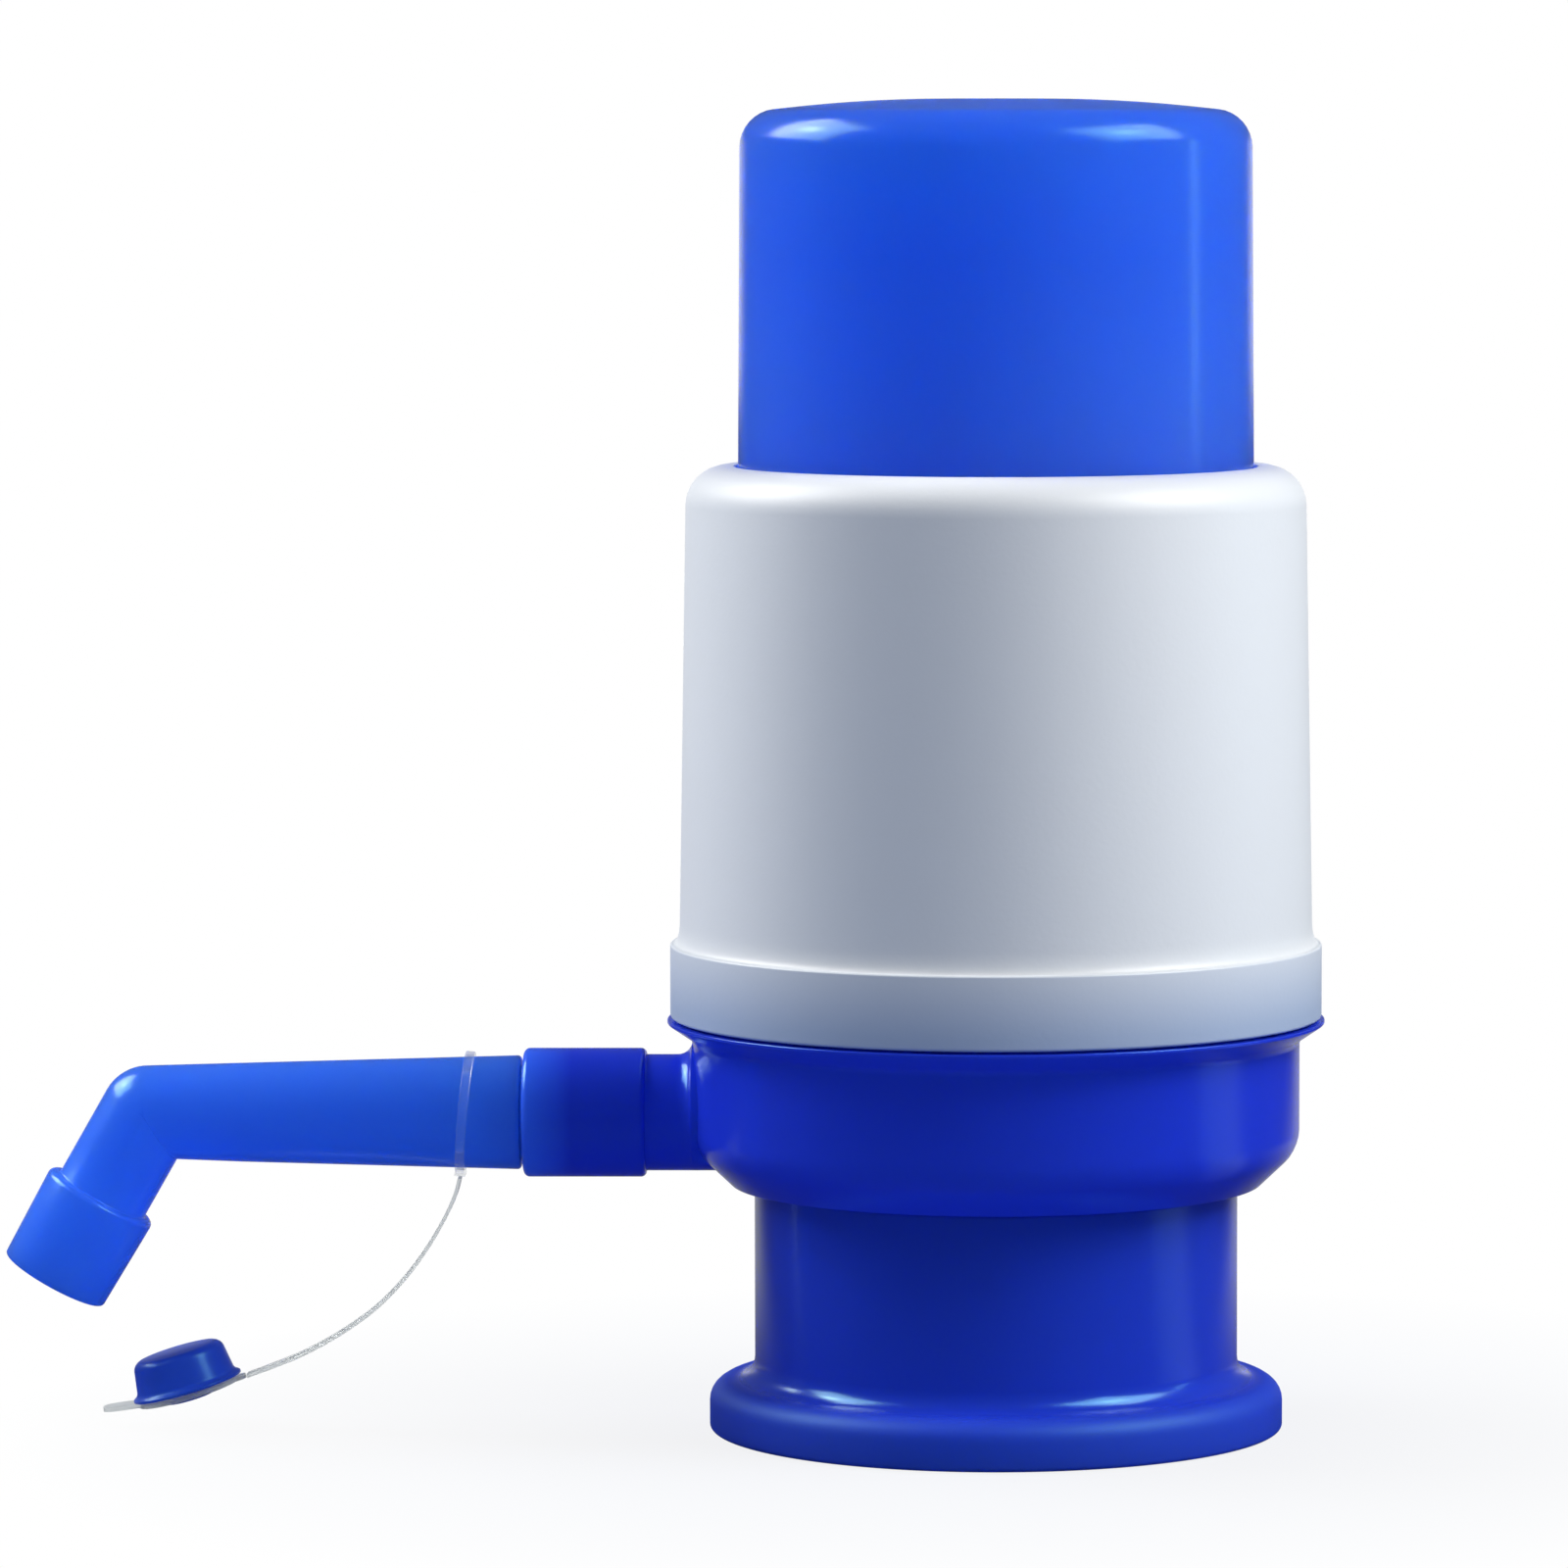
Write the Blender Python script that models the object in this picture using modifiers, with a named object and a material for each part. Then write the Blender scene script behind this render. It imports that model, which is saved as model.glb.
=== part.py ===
"""Hand pump for a large water bottle: a sprung press cap over a bellows, a swivelling spout and a screw clamp.

Metres, +Z up. The pump stands on its clamp collar, and the origin is under the middle of pump and spout.
"""

from math import cos, hypot, pi, radians, sin, tan

import bmesh
import bpy
from mathutils import Vector

# Gaps that separate pieces keep from each other
FIT_GAP = 0.0003
SEAL_GAP = 0.00012

# Bottle neck that everything is built round
BOTTLE_NECK_RADIUS = 0.02735
BOTTLE_CLEARANCE = 0.00045

# Clamp collar
COLLAR_HEIGHT = 0.0313
COLLAR_WALL = 0.0010
COLLAR_FILLET = 0.0030
COLLAR_MOUTH_CLEARANCE = 0.0003
COLLAR_LIP_HEIGHT = 0.0022
FLANGE_REACH = 0.0058
FLANGE_HEIGHT = 0.00625
FLANGE_TOP_ROUND = 0.0026
FLANGE_FOOT_ROUND = 0.0006
FLANGE_RIM_WALL = 0.0017
FLANGE_ROOF = 0.0020
FLANGE_INNER_WALL = 0.0013

# Thread between the collar and the neck of the base
THREAD_SPACE = 0.0009
THREAD_PITCH = 0.0040
THREAD_RIDGE_RADIUS = 0.0006
THREAD_RIDGE_SINK = 0.00005
THREAD_TURNS = 1
THREAD_FOOT_MARGIN = 0.0026

# Split grip ring
GRIP_HEIGHT = 0.0100
GRIP_INNER_CLEARANCE = 0.0003
GRIP_CONE_LEAN = 0.0012
GRIP_SPLIT_WIDTH = 0.0040

# Gasket that the rim of the bottle meets
GASKET_HEIGHT = 0.0020
GASKET_WIDTH = 0.0061

# Base: neck, bowl, rim and spigot
NECK_WALL = 0.0012
UNDERSIDE_REACH = 0.0030
UNDERSIDE_SLOPE_DEG = 43.5
BOWL_OVERHANG = 0.0079
BOWL_HEIGHT = 0.0211
BOWL_WALL = 0.0020
BOWL_CORNER = 0.0050
FLOOR_WALL = 0.0022
RIM_REACH = 0.0032
RIM_THICKNESS = 0.0004
RIM_EDGE_ROUND = 0.00015
RIM_SLOPE_DEG = 35
RIM_FILLET = 0.0012
SPIGOT_HEIGHT = 0.0078
SPIGOT_WALL = 0.0018
LEDGE_DROP = 0.0028
LEDGE_WIDTH = 0.0023
LEDGE_LIP = 0.0008
AIR_HOLE_RADIUS = 0.0020
AIR_HOLE_CIRCLE = 0.0150
AIR_HOLES = 6

# Water way in the base: an upright post and a level channel
POST_RADIUS = 0.0074
POST_TOP_SHARE = 0.9933
POST_TAIL = 0.0096
WATER_RADIUS = 0.0042
TUBE_SOCKET_RADIUS = 0.0053
TUBE_SOCKET_DEPTH = 0.0080

# Boss and socket for the spout
SPOUT_HEIGHT_SHARE = 0.4218
BOSS_RADIUS_SHARE = 0.3531
BOSS_LENGTH = 0.0059
BOSS_TO_LEDGE = 0.00005
CHANNEL_RADIUS = 0.0040
SOCKET_RADIUS = 0.00825
SOCKET_LENGTH = 0.0157
SOCKET_WALL = 0.00195
SOCKET_DEPTH = 0.0114
SOCKET_EDGE_ROUND = 0.0008

# Spout
SPOUT_SPIGOT_LENGTH = 0.0108
SPOUT_SPIGOT_CHAMFER = 0.0006
SPOUT_ROOT_RADIUS = 0.0073
SPOUT_ELBOW_RADIUS = 0.0060
SPOUT_LENGTH = 0.04775
SPOUT_BORE_ROOT = 0.0046
SPOUT_BORE_ELBOW = 0.0043
SPOUT_ROOT_ROUND = 0.0005
ELBOW_DROP_DEG = 60.3
LEG_RADIUS = 0.0061
LEG_LENGTH = 0.0122
LEG_BORE = 0.0046
NOZZLE_LENGTH = 0.0126
NOZZLE_ROOT_RADIUS = 0.00745
NOZZLE_TIP_RADIUS = 0.0071
NOZZLE_MOUTH_RADIUS = 0.0061
NOZZLE_MOUTH_DEPTH = 0.0085
NOZZLE_MOUTH_TAPER = 0.0009
NOZZLE_SHOULDER_ROUND = 0.0008
NOZZLE_EDGE_ROUND = 0.0004

# Spout seal
RING_CORD_RADIUS = 0.00042
RING_GROOVE_WIDTH = 0.0014
RING_FROM_MOUTH = 0.0070

# Tube connector under the base
CONNECTOR_FLANGE_RADIUS = 0.0072
CONNECTOR_FLANGE_HEIGHT = 0.0015
CONNECTOR_PLUG_LENGTH = 0.0074
CONNECTOR_NIPPLE_RADIUS = 0.0050
CONNECTOR_NIPPLE_LENGTH = 0.0160
CONNECTOR_BARB_HEIGHT = 0.0005
CONNECTOR_BARB_PITCH = 0.0036
CONNECTOR_BARBS = 3
CONNECTOR_BORE = 0.0037
CONNECTOR_CHAMFER = 0.0005

# Deck between bellows and base
DECK_SEAL_HEIGHT = 0.0010
DECK_SEAL_WIDTH = 0.0016
PLATE_THICKNESS = 0.0020
CLAMP_RING_BORE_CLEARANCE = 0.0009

# Umbrella valves, the same pattern in the deck and in the bellows head
VALVE_RADIUS = 0.0080
VALVE_EDGE = 0.0006
VALVE_HUB_THICKNESS = 0.0009
VALVE_STEM_RADIUS = 0.0014
VALVE_BULB_RADIUS = 0.0021
VALVE_BULB_HEIGHT = 0.0016
VENT_RADIUS = 0.0013
VENT_CIRCLE = 0.0050
VENTS = 6

# Sleeve
SLEEVE_HEIGHT = 0.0703
SLEEVE_WALL = 0.0018
SLEEVE_DRAFT = 0.00095
SHOULDER_RADIUS = 0.0050
LIP_WIDTH = 0.0063
LIP_THICKNESS = 0.0026
LIP_EDGE_ROUND = 0.0004
BAND_HEIGHT = 0.0094
BAND_STEP = 0.00125
BAND_COVE_HEIGHT = 0.0030
BAND_EDGE_ROUND = 0.0004
BAND_WALL = 0.0016
RIM_SHOW = 0.0004
CATCH_GRIP = 0.0015
CATCH_THICKNESS = 0.0020
CATCH_RAMP = 0.0023

# Press cap
CAP_EXPOSED_HEIGHT = 0.0465
CAP_CORNER = 0.0048
CAP_CROWN = 0.00135
CAP_CROWN_TILT_DEG = 6.0
CAP_FLAT_RADIUS = 0.0060
CAP_DRAFT = 0.0003
CAP_WALL = 0.0016
CAP_STOP_THICKNESS = 0.0022
CAP_STOP_EDGE = 0.0004
CAP_SKIRT_BELOW_STOP = 0.0082
CAP_RIB_RADIUS = 0.0200
CAP_RIB_WALL = 0.0016

# Bellows head
HEAD_DROP = 0.0058
HEAD_THICKNESS = 0.0020
HEAD_OVERLAP = 0.0048
HEAD_SPIGOT_LENGTH = 0.0030
HEAD_SPIGOT_WALL = 0.0018
HEAD_COLLAR_HEIGHT = 0.0026
HEAD_COLLAR_WALL = 0.0017

# Bellows
BELLOWS_CLEARANCE = 0.0009
BELLOWS_FOLD_DEPTH = 0.0045
BELLOWS_WALL = 0.0010
BELLOWS_FOOT_THICKNESS = 0.0010
BELLOWS_TOP_THICKNESS = 0.0010
BELLOWS_NECK_HEIGHT = 0.0020
BELLOWS_FOLDS = 8

# Tether: ring on the spout, strap, end ring with pull tab
TETHER_FROM_SOCKET = 0.0072
TETHER_RING_WIDTH = 0.0012
TETHER_RING_THICKNESS = 0.0004
TETHER_TILT_DEG = 5.0
TETHER_ROOT_LENGTH = 0.0014
TETHER_ROOT_DROP = 0.0003
STRAP_WIDTH = 0.0030
STRAP_THICKNESS = 0.00045
TETHER_END_RADIUS = 0.0066
TETHER_END_THICKNESS = 0.0005
TETHER_TAB_LENGTH = 0.0046
TETHER_TAB_WIDTH = 0.0044
TETHER_TAB_LIFT_DEG = 8.0
TETHER_NECK_LENGTH = 0.0010
STRAP_ROUTE = [
    (-0.0692, 0.0300),
    (-0.0705, 0.0271),
    (-0.0727, 0.0233),
    (-0.0757, 0.0192),
    (-0.0795, 0.0153),
    (-0.0841, 0.0120),
    (-0.0886, 0.0095),
    (-0.0927, 0.0078),
]

# Dust plug, tilted with the end of the strap
PLUG_CENTRE_X = -0.1036
PLUG_CENTRE_HEIGHT = 0.0044
PLUG_TILT_DEG = -16.0
PLUG_BASE_RADIUS = 0.0071
PLUG_FOOT_RADIUS = 0.0066
PLUG_TOP_RADIUS = 0.0058
PLUG_HEIGHT = 0.0050
PLUG_TOP_ROUND = 0.0013
PLUG_SKIRT_HEIGHT = 0.0006
PLUG_STEM_RADIUS = 0.0030
PLUG_LIP_RADIUS = 0.0037
PLUG_LIP_THICKNESS = 0.0003

# Facets and tolerances
BODY_STEPS = 32
BELLOWS_STEPS = 24
TUBE_STEPS = 20
SMALL_STEPS = 12
SHARP_ANGLE_DEG = 32
MERGE_DISTANCE = 0.00001
CUT_OVERRUN = 0.002

# Radii worked outwards from the bottle neck
neck_inner = BOTTLE_NECK_RADIUS + BOTTLE_CLEARANCE
neck_outer = neck_inner + NECK_WALL
collar_inner = neck_outer + THREAD_SPACE
collar_outer = collar_inner + COLLAR_WALL
flange_radius = collar_outer + FLANGE_REACH
underside_edge = collar_outer + UNDERSIDE_REACH
bowl_radius = collar_outer + BOWL_OVERHANG
bowl_inner = bowl_radius - BOWL_WALL
rim_radius = bowl_radius + RIM_REACH
band_radius = rim_radius - RIM_SHOW
band_inner = band_radius - BAND_WALL
sleeve_foot_radius = band_radius - BAND_STEP
sleeve_top_radius = sleeve_foot_radius - SLEEVE_DRAFT
sleeve_bore_foot = sleeve_foot_radius - SLEEVE_WALL
sleeve_bore_top = sleeve_top_radius - SLEEVE_WALL
lip_radius = sleeve_top_radius - LIP_WIDTH
cap_foot_radius = lip_radius - FIT_GAP
cap_top_radius = cap_foot_radius - CAP_DRAFT
cap_stop_radius = sleeve_bore_top - FIT_GAP
spigot_outer = band_inner - FIT_GAP
spigot_inner = spigot_outer - SPIGOT_WALL
plate_radius = spigot_inner - FIT_GAP
bellows_outer = cap_top_radius - CAP_WALL - BELLOWS_CLEARANCE
bellows_inner = bellows_outer - BELLOWS_FOLD_DEPTH
clamp_ring_bore = bellows_outer + CLAMP_RING_BORE_CLEARANCE

# Heights worked upwards from the foot of the collar
underside_z = COLLAR_HEIGHT + FIT_GAP
underside_slope = tan(radians(UNDERSIDE_SLOPE_DEG))
floor_top_z = underside_z + FLOOR_WALL
rim_top_z = underside_z + BOWL_HEIGHT
spigot_top_z = rim_top_z + SPIGOT_HEIGHT
ledge_z = rim_top_z - LEDGE_DROP
deck_seal_z = ledge_z + FIT_GAP
plate_z = deck_seal_z + DECK_SEAL_HEIGHT + FIT_GAP
bellows_foot_z = plate_z + PLATE_THICKNESS + FIT_GAP
clamp_ring_z = bellows_foot_z + BELLOWS_FOOT_THICKNESS + FIT_GAP
sleeve_foot_z = rim_top_z + FIT_GAP
sleeve_top_z = sleeve_foot_z + SLEEVE_HEIGHT
lip_under_z = sleeve_top_z - LIP_THICKNESS
cap_stop_z = lip_under_z - FIT_GAP
cap_top_z = sleeve_top_z + CAP_EXPOSED_HEIGHT
head_top_z = cap_top_z - HEAD_DROP
head_under_z = head_top_z - HEAD_THICKNESS
bellows_top_z = head_under_z - FIT_GAP
spout_z = underside_z + BOWL_HEIGHT * SPOUT_HEIGHT_SHARE
boss_radius = BOWL_HEIGHT * BOSS_RADIUS_SHARE
boss_fillet = ledge_z - BOSS_TO_LEDGE - spout_z - boss_radius
post_foot_z = underside_z - POST_TAIL
grip_z = COLLAR_LIP_HEIGHT + FIT_GAP
neck_foot_z = grip_z + GRIP_HEIGHT + FIT_GAP

# Places along the spout, as distances from the pump's axis
socket_start = bowl_radius + BOSS_LENGTH
socket_end = socket_start + SOCKET_LENGTH
socket_bore = SOCKET_RADIUS - SOCKET_WALL
spout_root = socket_end + FIT_GAP
elbow_reach = spout_root + SPOUT_LENGTH
tether_reach = spout_root + TETHER_FROM_SOCKET
elbow_drop = radians(ELBOW_DROP_DEG)
leg_end = LEG_LENGTH + NOZZLE_LENGTH
spout_reach = elbow_reach + leg_end * cos(elbow_drop) + NOZZLE_TIP_RADIUS * sin(elbow_drop)
pump_x = (spout_reach - rim_radius) / 2

parts = bpy.data.collections.new("water_jug_hand_pump")
cutters = bpy.data.collections.new("cutters")


def arc(centre, radius, start_deg, end_deg, pieces):
    """Points on an arc in the (radius, height) plane, both ends included."""
    angles = [radians(start_deg + (end_deg - start_deg) * i / pieces) for i in range(pieces + 1)]
    return [(centre[0] + radius * cos(a), centre[1] + radius * sin(a)) for a in angles]


def between(start, end, share):
    """The value that lies this share of the way from start to end."""
    return start + (end - start) * share


def plastic(name, colour, roughness, alpha=1.0):
    """A moulded material with its colour, gloss and opacity."""
    material = bpy.data.materials.new(name)
    material.use_nodes = True
    shader = material.node_tree.nodes["Principled BSDF"]
    shader.inputs["Base Color"].default_value = (*colour, 1)
    shader.inputs["Roughness"].default_value = roughness
    shader.inputs["Metallic"].default_value = 0
    shader.inputs["Alpha"].default_value = alpha
    material.diffuse_color = (*colour, alpha)
    return material


def settle(obj):
    """Turns the modifiers so far into plain mesh, and shades its round faces smooth."""
    graph = bpy.context.evaluated_depsgraph_get()
    mesh = bpy.data.meshes.new_from_object(obj.evaluated_get(graph))
    obj.modifiers.clear()
    obj.data = mesh
    mesh.shade_smooth()
    mesh.set_sharp_from_angle(angle=radians(SHARP_ANGLE_DEG))


def place(obj, parent, location, turn_y=0.0):
    """Hangs an object from its parent empty at a place, turned about Y."""
    obj.parent = parent
    obj.location = location
    obj.rotation_euler = (0, turn_y, 0)


def turned(name, profile, steps, material=None, closed=False):
    """A turned piece: (radius, height) points that run down the outer side, spun about local Z."""
    outline = bmesh.new()
    points = [outline.verts.new((radius, 0, height)) for radius, height in profile]
    for first, second in zip(points, points[1:]):
        outline.edges.new((first, second))
    if closed:
        outline.edges.new((points[-1], points[0]))
    mesh = bpy.data.meshes.new(name)
    outline.to_mesh(mesh)
    outline.free()
    obj = bpy.data.objects.new(name, mesh)
    parts.objects.link(obj)
    screw = obj.modifiers.new("Turn", "SCREW")
    screw.steps = steps
    screw.render_steps = steps
    screw.use_merge_vertices = True
    screw.merge_threshold = MERGE_DISTANCE
    settle(obj)
    if material:
        obj.data.materials.append(material)
    return obj


def as_tool(obj):
    """Moves a shape that only cuts or joins another one to the cutters."""
    parts.objects.unlink(obj)
    cutters.objects.link(obj)
    obj.hide_render = True
    obj.display_type = "WIRE"
    return obj


def combine(obj, tool, operation, solver="EXACT"):
    """Cuts a tool from a piece, or joins it on."""
    step = obj.modifiers.new(f"{operation.title()} {tool.name}", "BOOLEAN")
    step.operation = operation
    step.solver = solver
    step.object = tool


def rod(radius, low, high):
    """Profile of a plain solid rod along local Z."""
    return [(0, high), (radius, high), (radius, low), (0, low)]


def ring(inner, outer, low, high):
    """Profile of a flat ring, for a closed turned shape."""
    return [(inner, high), (outer, high), (outer, low), (inner, low)]


def hole_circle(name, circle, radius, count, low, high):
    """One cutter that holds a circle of equal round pins, none of them on the X axis."""
    pins = bmesh.new()
    for i in range(count):
        angle = 2 * pi * (i + 0.5) / count
        made = bmesh.ops.create_cone(
            pins, cap_ends=True, segments=SMALL_STEPS, radius1=radius, radius2=radius, depth=high - low
        )
        offset = Vector((circle * cos(angle), circle * sin(angle), between(low, high, 0.5)))
        bmesh.ops.translate(pins, verts=made["verts"], vec=offset)
    mesh = bpy.data.meshes.new(name)
    pins.to_mesh(mesh)
    pins.free()
    obj = bpy.data.objects.new(name, mesh)
    parts.objects.link(obj)
    return as_tool(obj)


def block(name, size, centre):
    """A box of three side lengths about a centre."""
    box = bmesh.new()
    bmesh.ops.create_cube(box, size=1)
    bmesh.ops.scale(box, vec=Vector(size), verts=box.verts)
    bmesh.ops.translate(box, vec=Vector(centre), verts=box.verts)
    mesh = bpy.data.meshes.new(name)
    box.to_mesh(mesh)
    box.free()
    obj = bpy.data.objects.new(name, mesh)
    parts.objects.link(obj)
    return obj


def swept(name, points, cord_radius, sides_level):
    """A round tube along points, as one closed mesh."""
    curve = bpy.data.curves.new(name, "CURVE")
    curve.dimensions = "3D"
    curve.bevel_depth = cord_radius
    curve.bevel_resolution = sides_level
    curve.use_fill_caps = True
    spline = curve.splines.new("POLY")
    spline.points.add(len(points) - 1)
    for point, place_of_point in zip(spline.points, points):
        point.co = (*place_of_point, 1)
    guide = bpy.data.objects.new(name + "_guide", curve)
    parts.objects.link(guide)
    graph = bpy.context.evaluated_depsgraph_get()
    mesh = bpy.data.meshes.new_from_object(guide.evaluated_get(graph))
    bpy.data.objects.remove(guide)
    weld = bmesh.new()
    weld.from_mesh(mesh)
    bmesh.ops.remove_doubles(weld, verts=weld.verts, dist=MERGE_DISTANCE)
    weld.to_mesh(mesh)
    weld.free()
    obj = bpy.data.objects.new(name, mesh)
    parts.objects.link(obj)
    return obj


def thread(name, radius, foot_z):
    """A helical thread ridge, as a tool to join on."""
    points = []
    for i in range(THREAD_TURNS * BODY_STEPS + 1):
        turns = i / BODY_STEPS
        angle = 2 * pi * turns
        points.append((radius * cos(angle), radius * sin(angle), foot_z + THREAD_PITCH * turns))
    return as_tool(swept(name, points, THREAD_RIDGE_RADIUS, 0))


def cone_z(radius):
    """Height of the sloping underside of the bowl at a radius."""
    return underside_z + (radius - underside_edge) * underside_slope


def make_clamp_collar(parent, material):
    """The blue screw collar with its wide foot flange, hollow underneath."""
    fillet_z = FLANGE_HEIGHT + COLLAR_FILLET
    fillet = arc((collar_outer + COLLAR_FILLET, fillet_z), COLLAR_FILLET, 180, 270, 5)
    top_round = arc(
        (flange_radius - FLANGE_TOP_ROUND, FLANGE_HEIGHT - FLANGE_TOP_ROUND), FLANGE_TOP_ROUND, 90, 0, 3
    )
    foot_round = arc(
        (flange_radius - FLANGE_FOOT_ROUND, FLANGE_FOOT_ROUND), FLANGE_FOOT_ROUND, 0, -90, 2
    )
    groove_outer = flange_radius - FLANGE_RIM_WALL
    groove_inner = collar_inner + FLANGE_INNER_WALL
    groove_top = FLANGE_HEIGHT - FLANGE_ROOF
    mouth = neck_inner + COLLAR_MOUTH_CLEARANCE
    seat_top_z = grip_z + GRIP_HEIGHT
    profile = [(collar_inner, COLLAR_HEIGHT), (collar_outer, COLLAR_HEIGHT)]
    profile += fillet + top_round + foot_round
    profile += [
        (groove_outer, 0),
        (groove_outer, groove_top),
        (groove_inner, groove_top),
        (groove_inner, 0),
        (mouth, 0),
        (mouth, COLLAR_LIP_HEIGHT),
        (collar_inner - GRIP_CONE_LEAN, COLLAR_LIP_HEIGHT),
        (collar_inner, seat_top_z),
    ]
    obj = turned("clamp_collar", profile, BODY_STEPS, material, closed=True)
    place(obj, parent, (0, 0, 0))
    ridge_z = neck_foot_z + THREAD_FOOT_MARGIN + THREAD_PITCH / 2
    ridge = thread("collar_thread", collar_inner + THREAD_RIDGE_SINK, ridge_z)
    place(ridge, parent, (0, 0, 0))
    combine(obj, ridge, "UNION")


def make_grip_ring(parent, material):
    """The split ring that the collar squeezes onto the bottle."""
    inner = neck_inner - GRIP_INNER_CLEARANCE
    outer_top = collar_inner - FIT_GAP
    outer_foot = outer_top - GRIP_CONE_LEAN
    top_z = grip_z + GRIP_HEIGHT
    profile = [(inner, top_z), (outer_top, top_z), (outer_foot, grip_z), (inner, grip_z)]
    obj = turned("grip_ring", profile, BODY_STEPS, material, closed=True)
    place(obj, parent, (0, 0, 0))
    middle = (0, between(inner, outer_top, 0.5), between(grip_z, top_z, 0.5))
    size = (GRIP_SPLIT_WIDTH, outer_top - inner + 2 * CUT_OVERRUN, GRIP_HEIGHT + 2 * CUT_OVERRUN)
    slot = as_tool(block("grip_split", size, middle))
    place(slot, parent, (0, 0, 0))
    combine(obj, slot, "DIFFERENCE")


def make_gasket(parent, material):
    """The flat rubber ring that the rim of the bottle presses on."""
    outer = neck_inner - FIT_GAP
    high = underside_z - FIT_GAP
    obj = turned(
        "neck_gasket", ring(outer - GASKET_WIDTH, outer, high - GASKET_HEIGHT, high), BODY_STEPS, material, closed=True
    )
    place(obj, parent, (0, 0, 0))


def base_profile():
    """Half section of the base, from the axis over its floor and wall and back under to the axis."""
    turn = 90 - UNDERSIDE_SLOPE_DEG
    corner_r = bowl_radius - BOWL_CORNER
    corner_foot_r = corner_r + BOWL_CORNER * cos(radians(turn))
    corner_z = cone_z(corner_foot_r) + BOWL_CORNER * sin(radians(turn))
    inner_round = BOWL_CORNER - BOWL_WALL
    wall_rise = BOWL_WALL / cos(radians(UNDERSIDE_SLOPE_DEG))
    floor_edge = underside_edge + (floor_top_z - underside_z - wall_rise) / underside_slope
    ledge_inner = spigot_inner - LEDGE_WIDTH
    rim_under_z = rim_top_z - RIM_THICKNESS
    rim_edge = rim_radius - RIM_EDGE_ROUND
    rim_slope = radians(RIM_SLOPE_DEG)
    fillet_start = bowl_radius + RIM_FILLET * (1 - sin(rim_slope))
    fillet_z = rim_under_z - (rim_edge - fillet_start) * tan(rim_slope) - RIM_FILLET * cos(rim_slope)
    profile = [(0, floor_top_z), (floor_edge, floor_top_z)]
    profile += arc((corner_r, corner_z), inner_round, -turn, 0, 2)
    profile += [
        (bowl_inner, ledge_z - LEDGE_LIP - (bowl_inner - ledge_inner)),
        (ledge_inner, ledge_z - LEDGE_LIP),
        (ledge_inner, ledge_z),
        (spigot_inner, ledge_z),
        (spigot_inner, spigot_top_z),
        (spigot_outer, spigot_top_z),
        (spigot_outer, rim_top_z),
        (rim_edge, rim_top_z),
        (rim_radius, rim_top_z - RIM_EDGE_ROUND),
        (rim_radius, rim_under_z + RIM_EDGE_ROUND),
        (rim_edge, rim_under_z),
    ]
    profile += arc((bowl_radius + RIM_FILLET, fillet_z), RIM_FILLET, 90 + RIM_SLOPE_DEG, 180, 2)
    profile += arc((corner_r, corner_z), BOWL_CORNER, 0, -turn, 4)
    profile += [
        (underside_edge, underside_z),
        (neck_outer, underside_z),
        (neck_outer, neck_foot_z),
        (neck_inner, neck_foot_z),
        (neck_inner, underside_z),
        (0, underside_z),
    ]
    return profile


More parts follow.
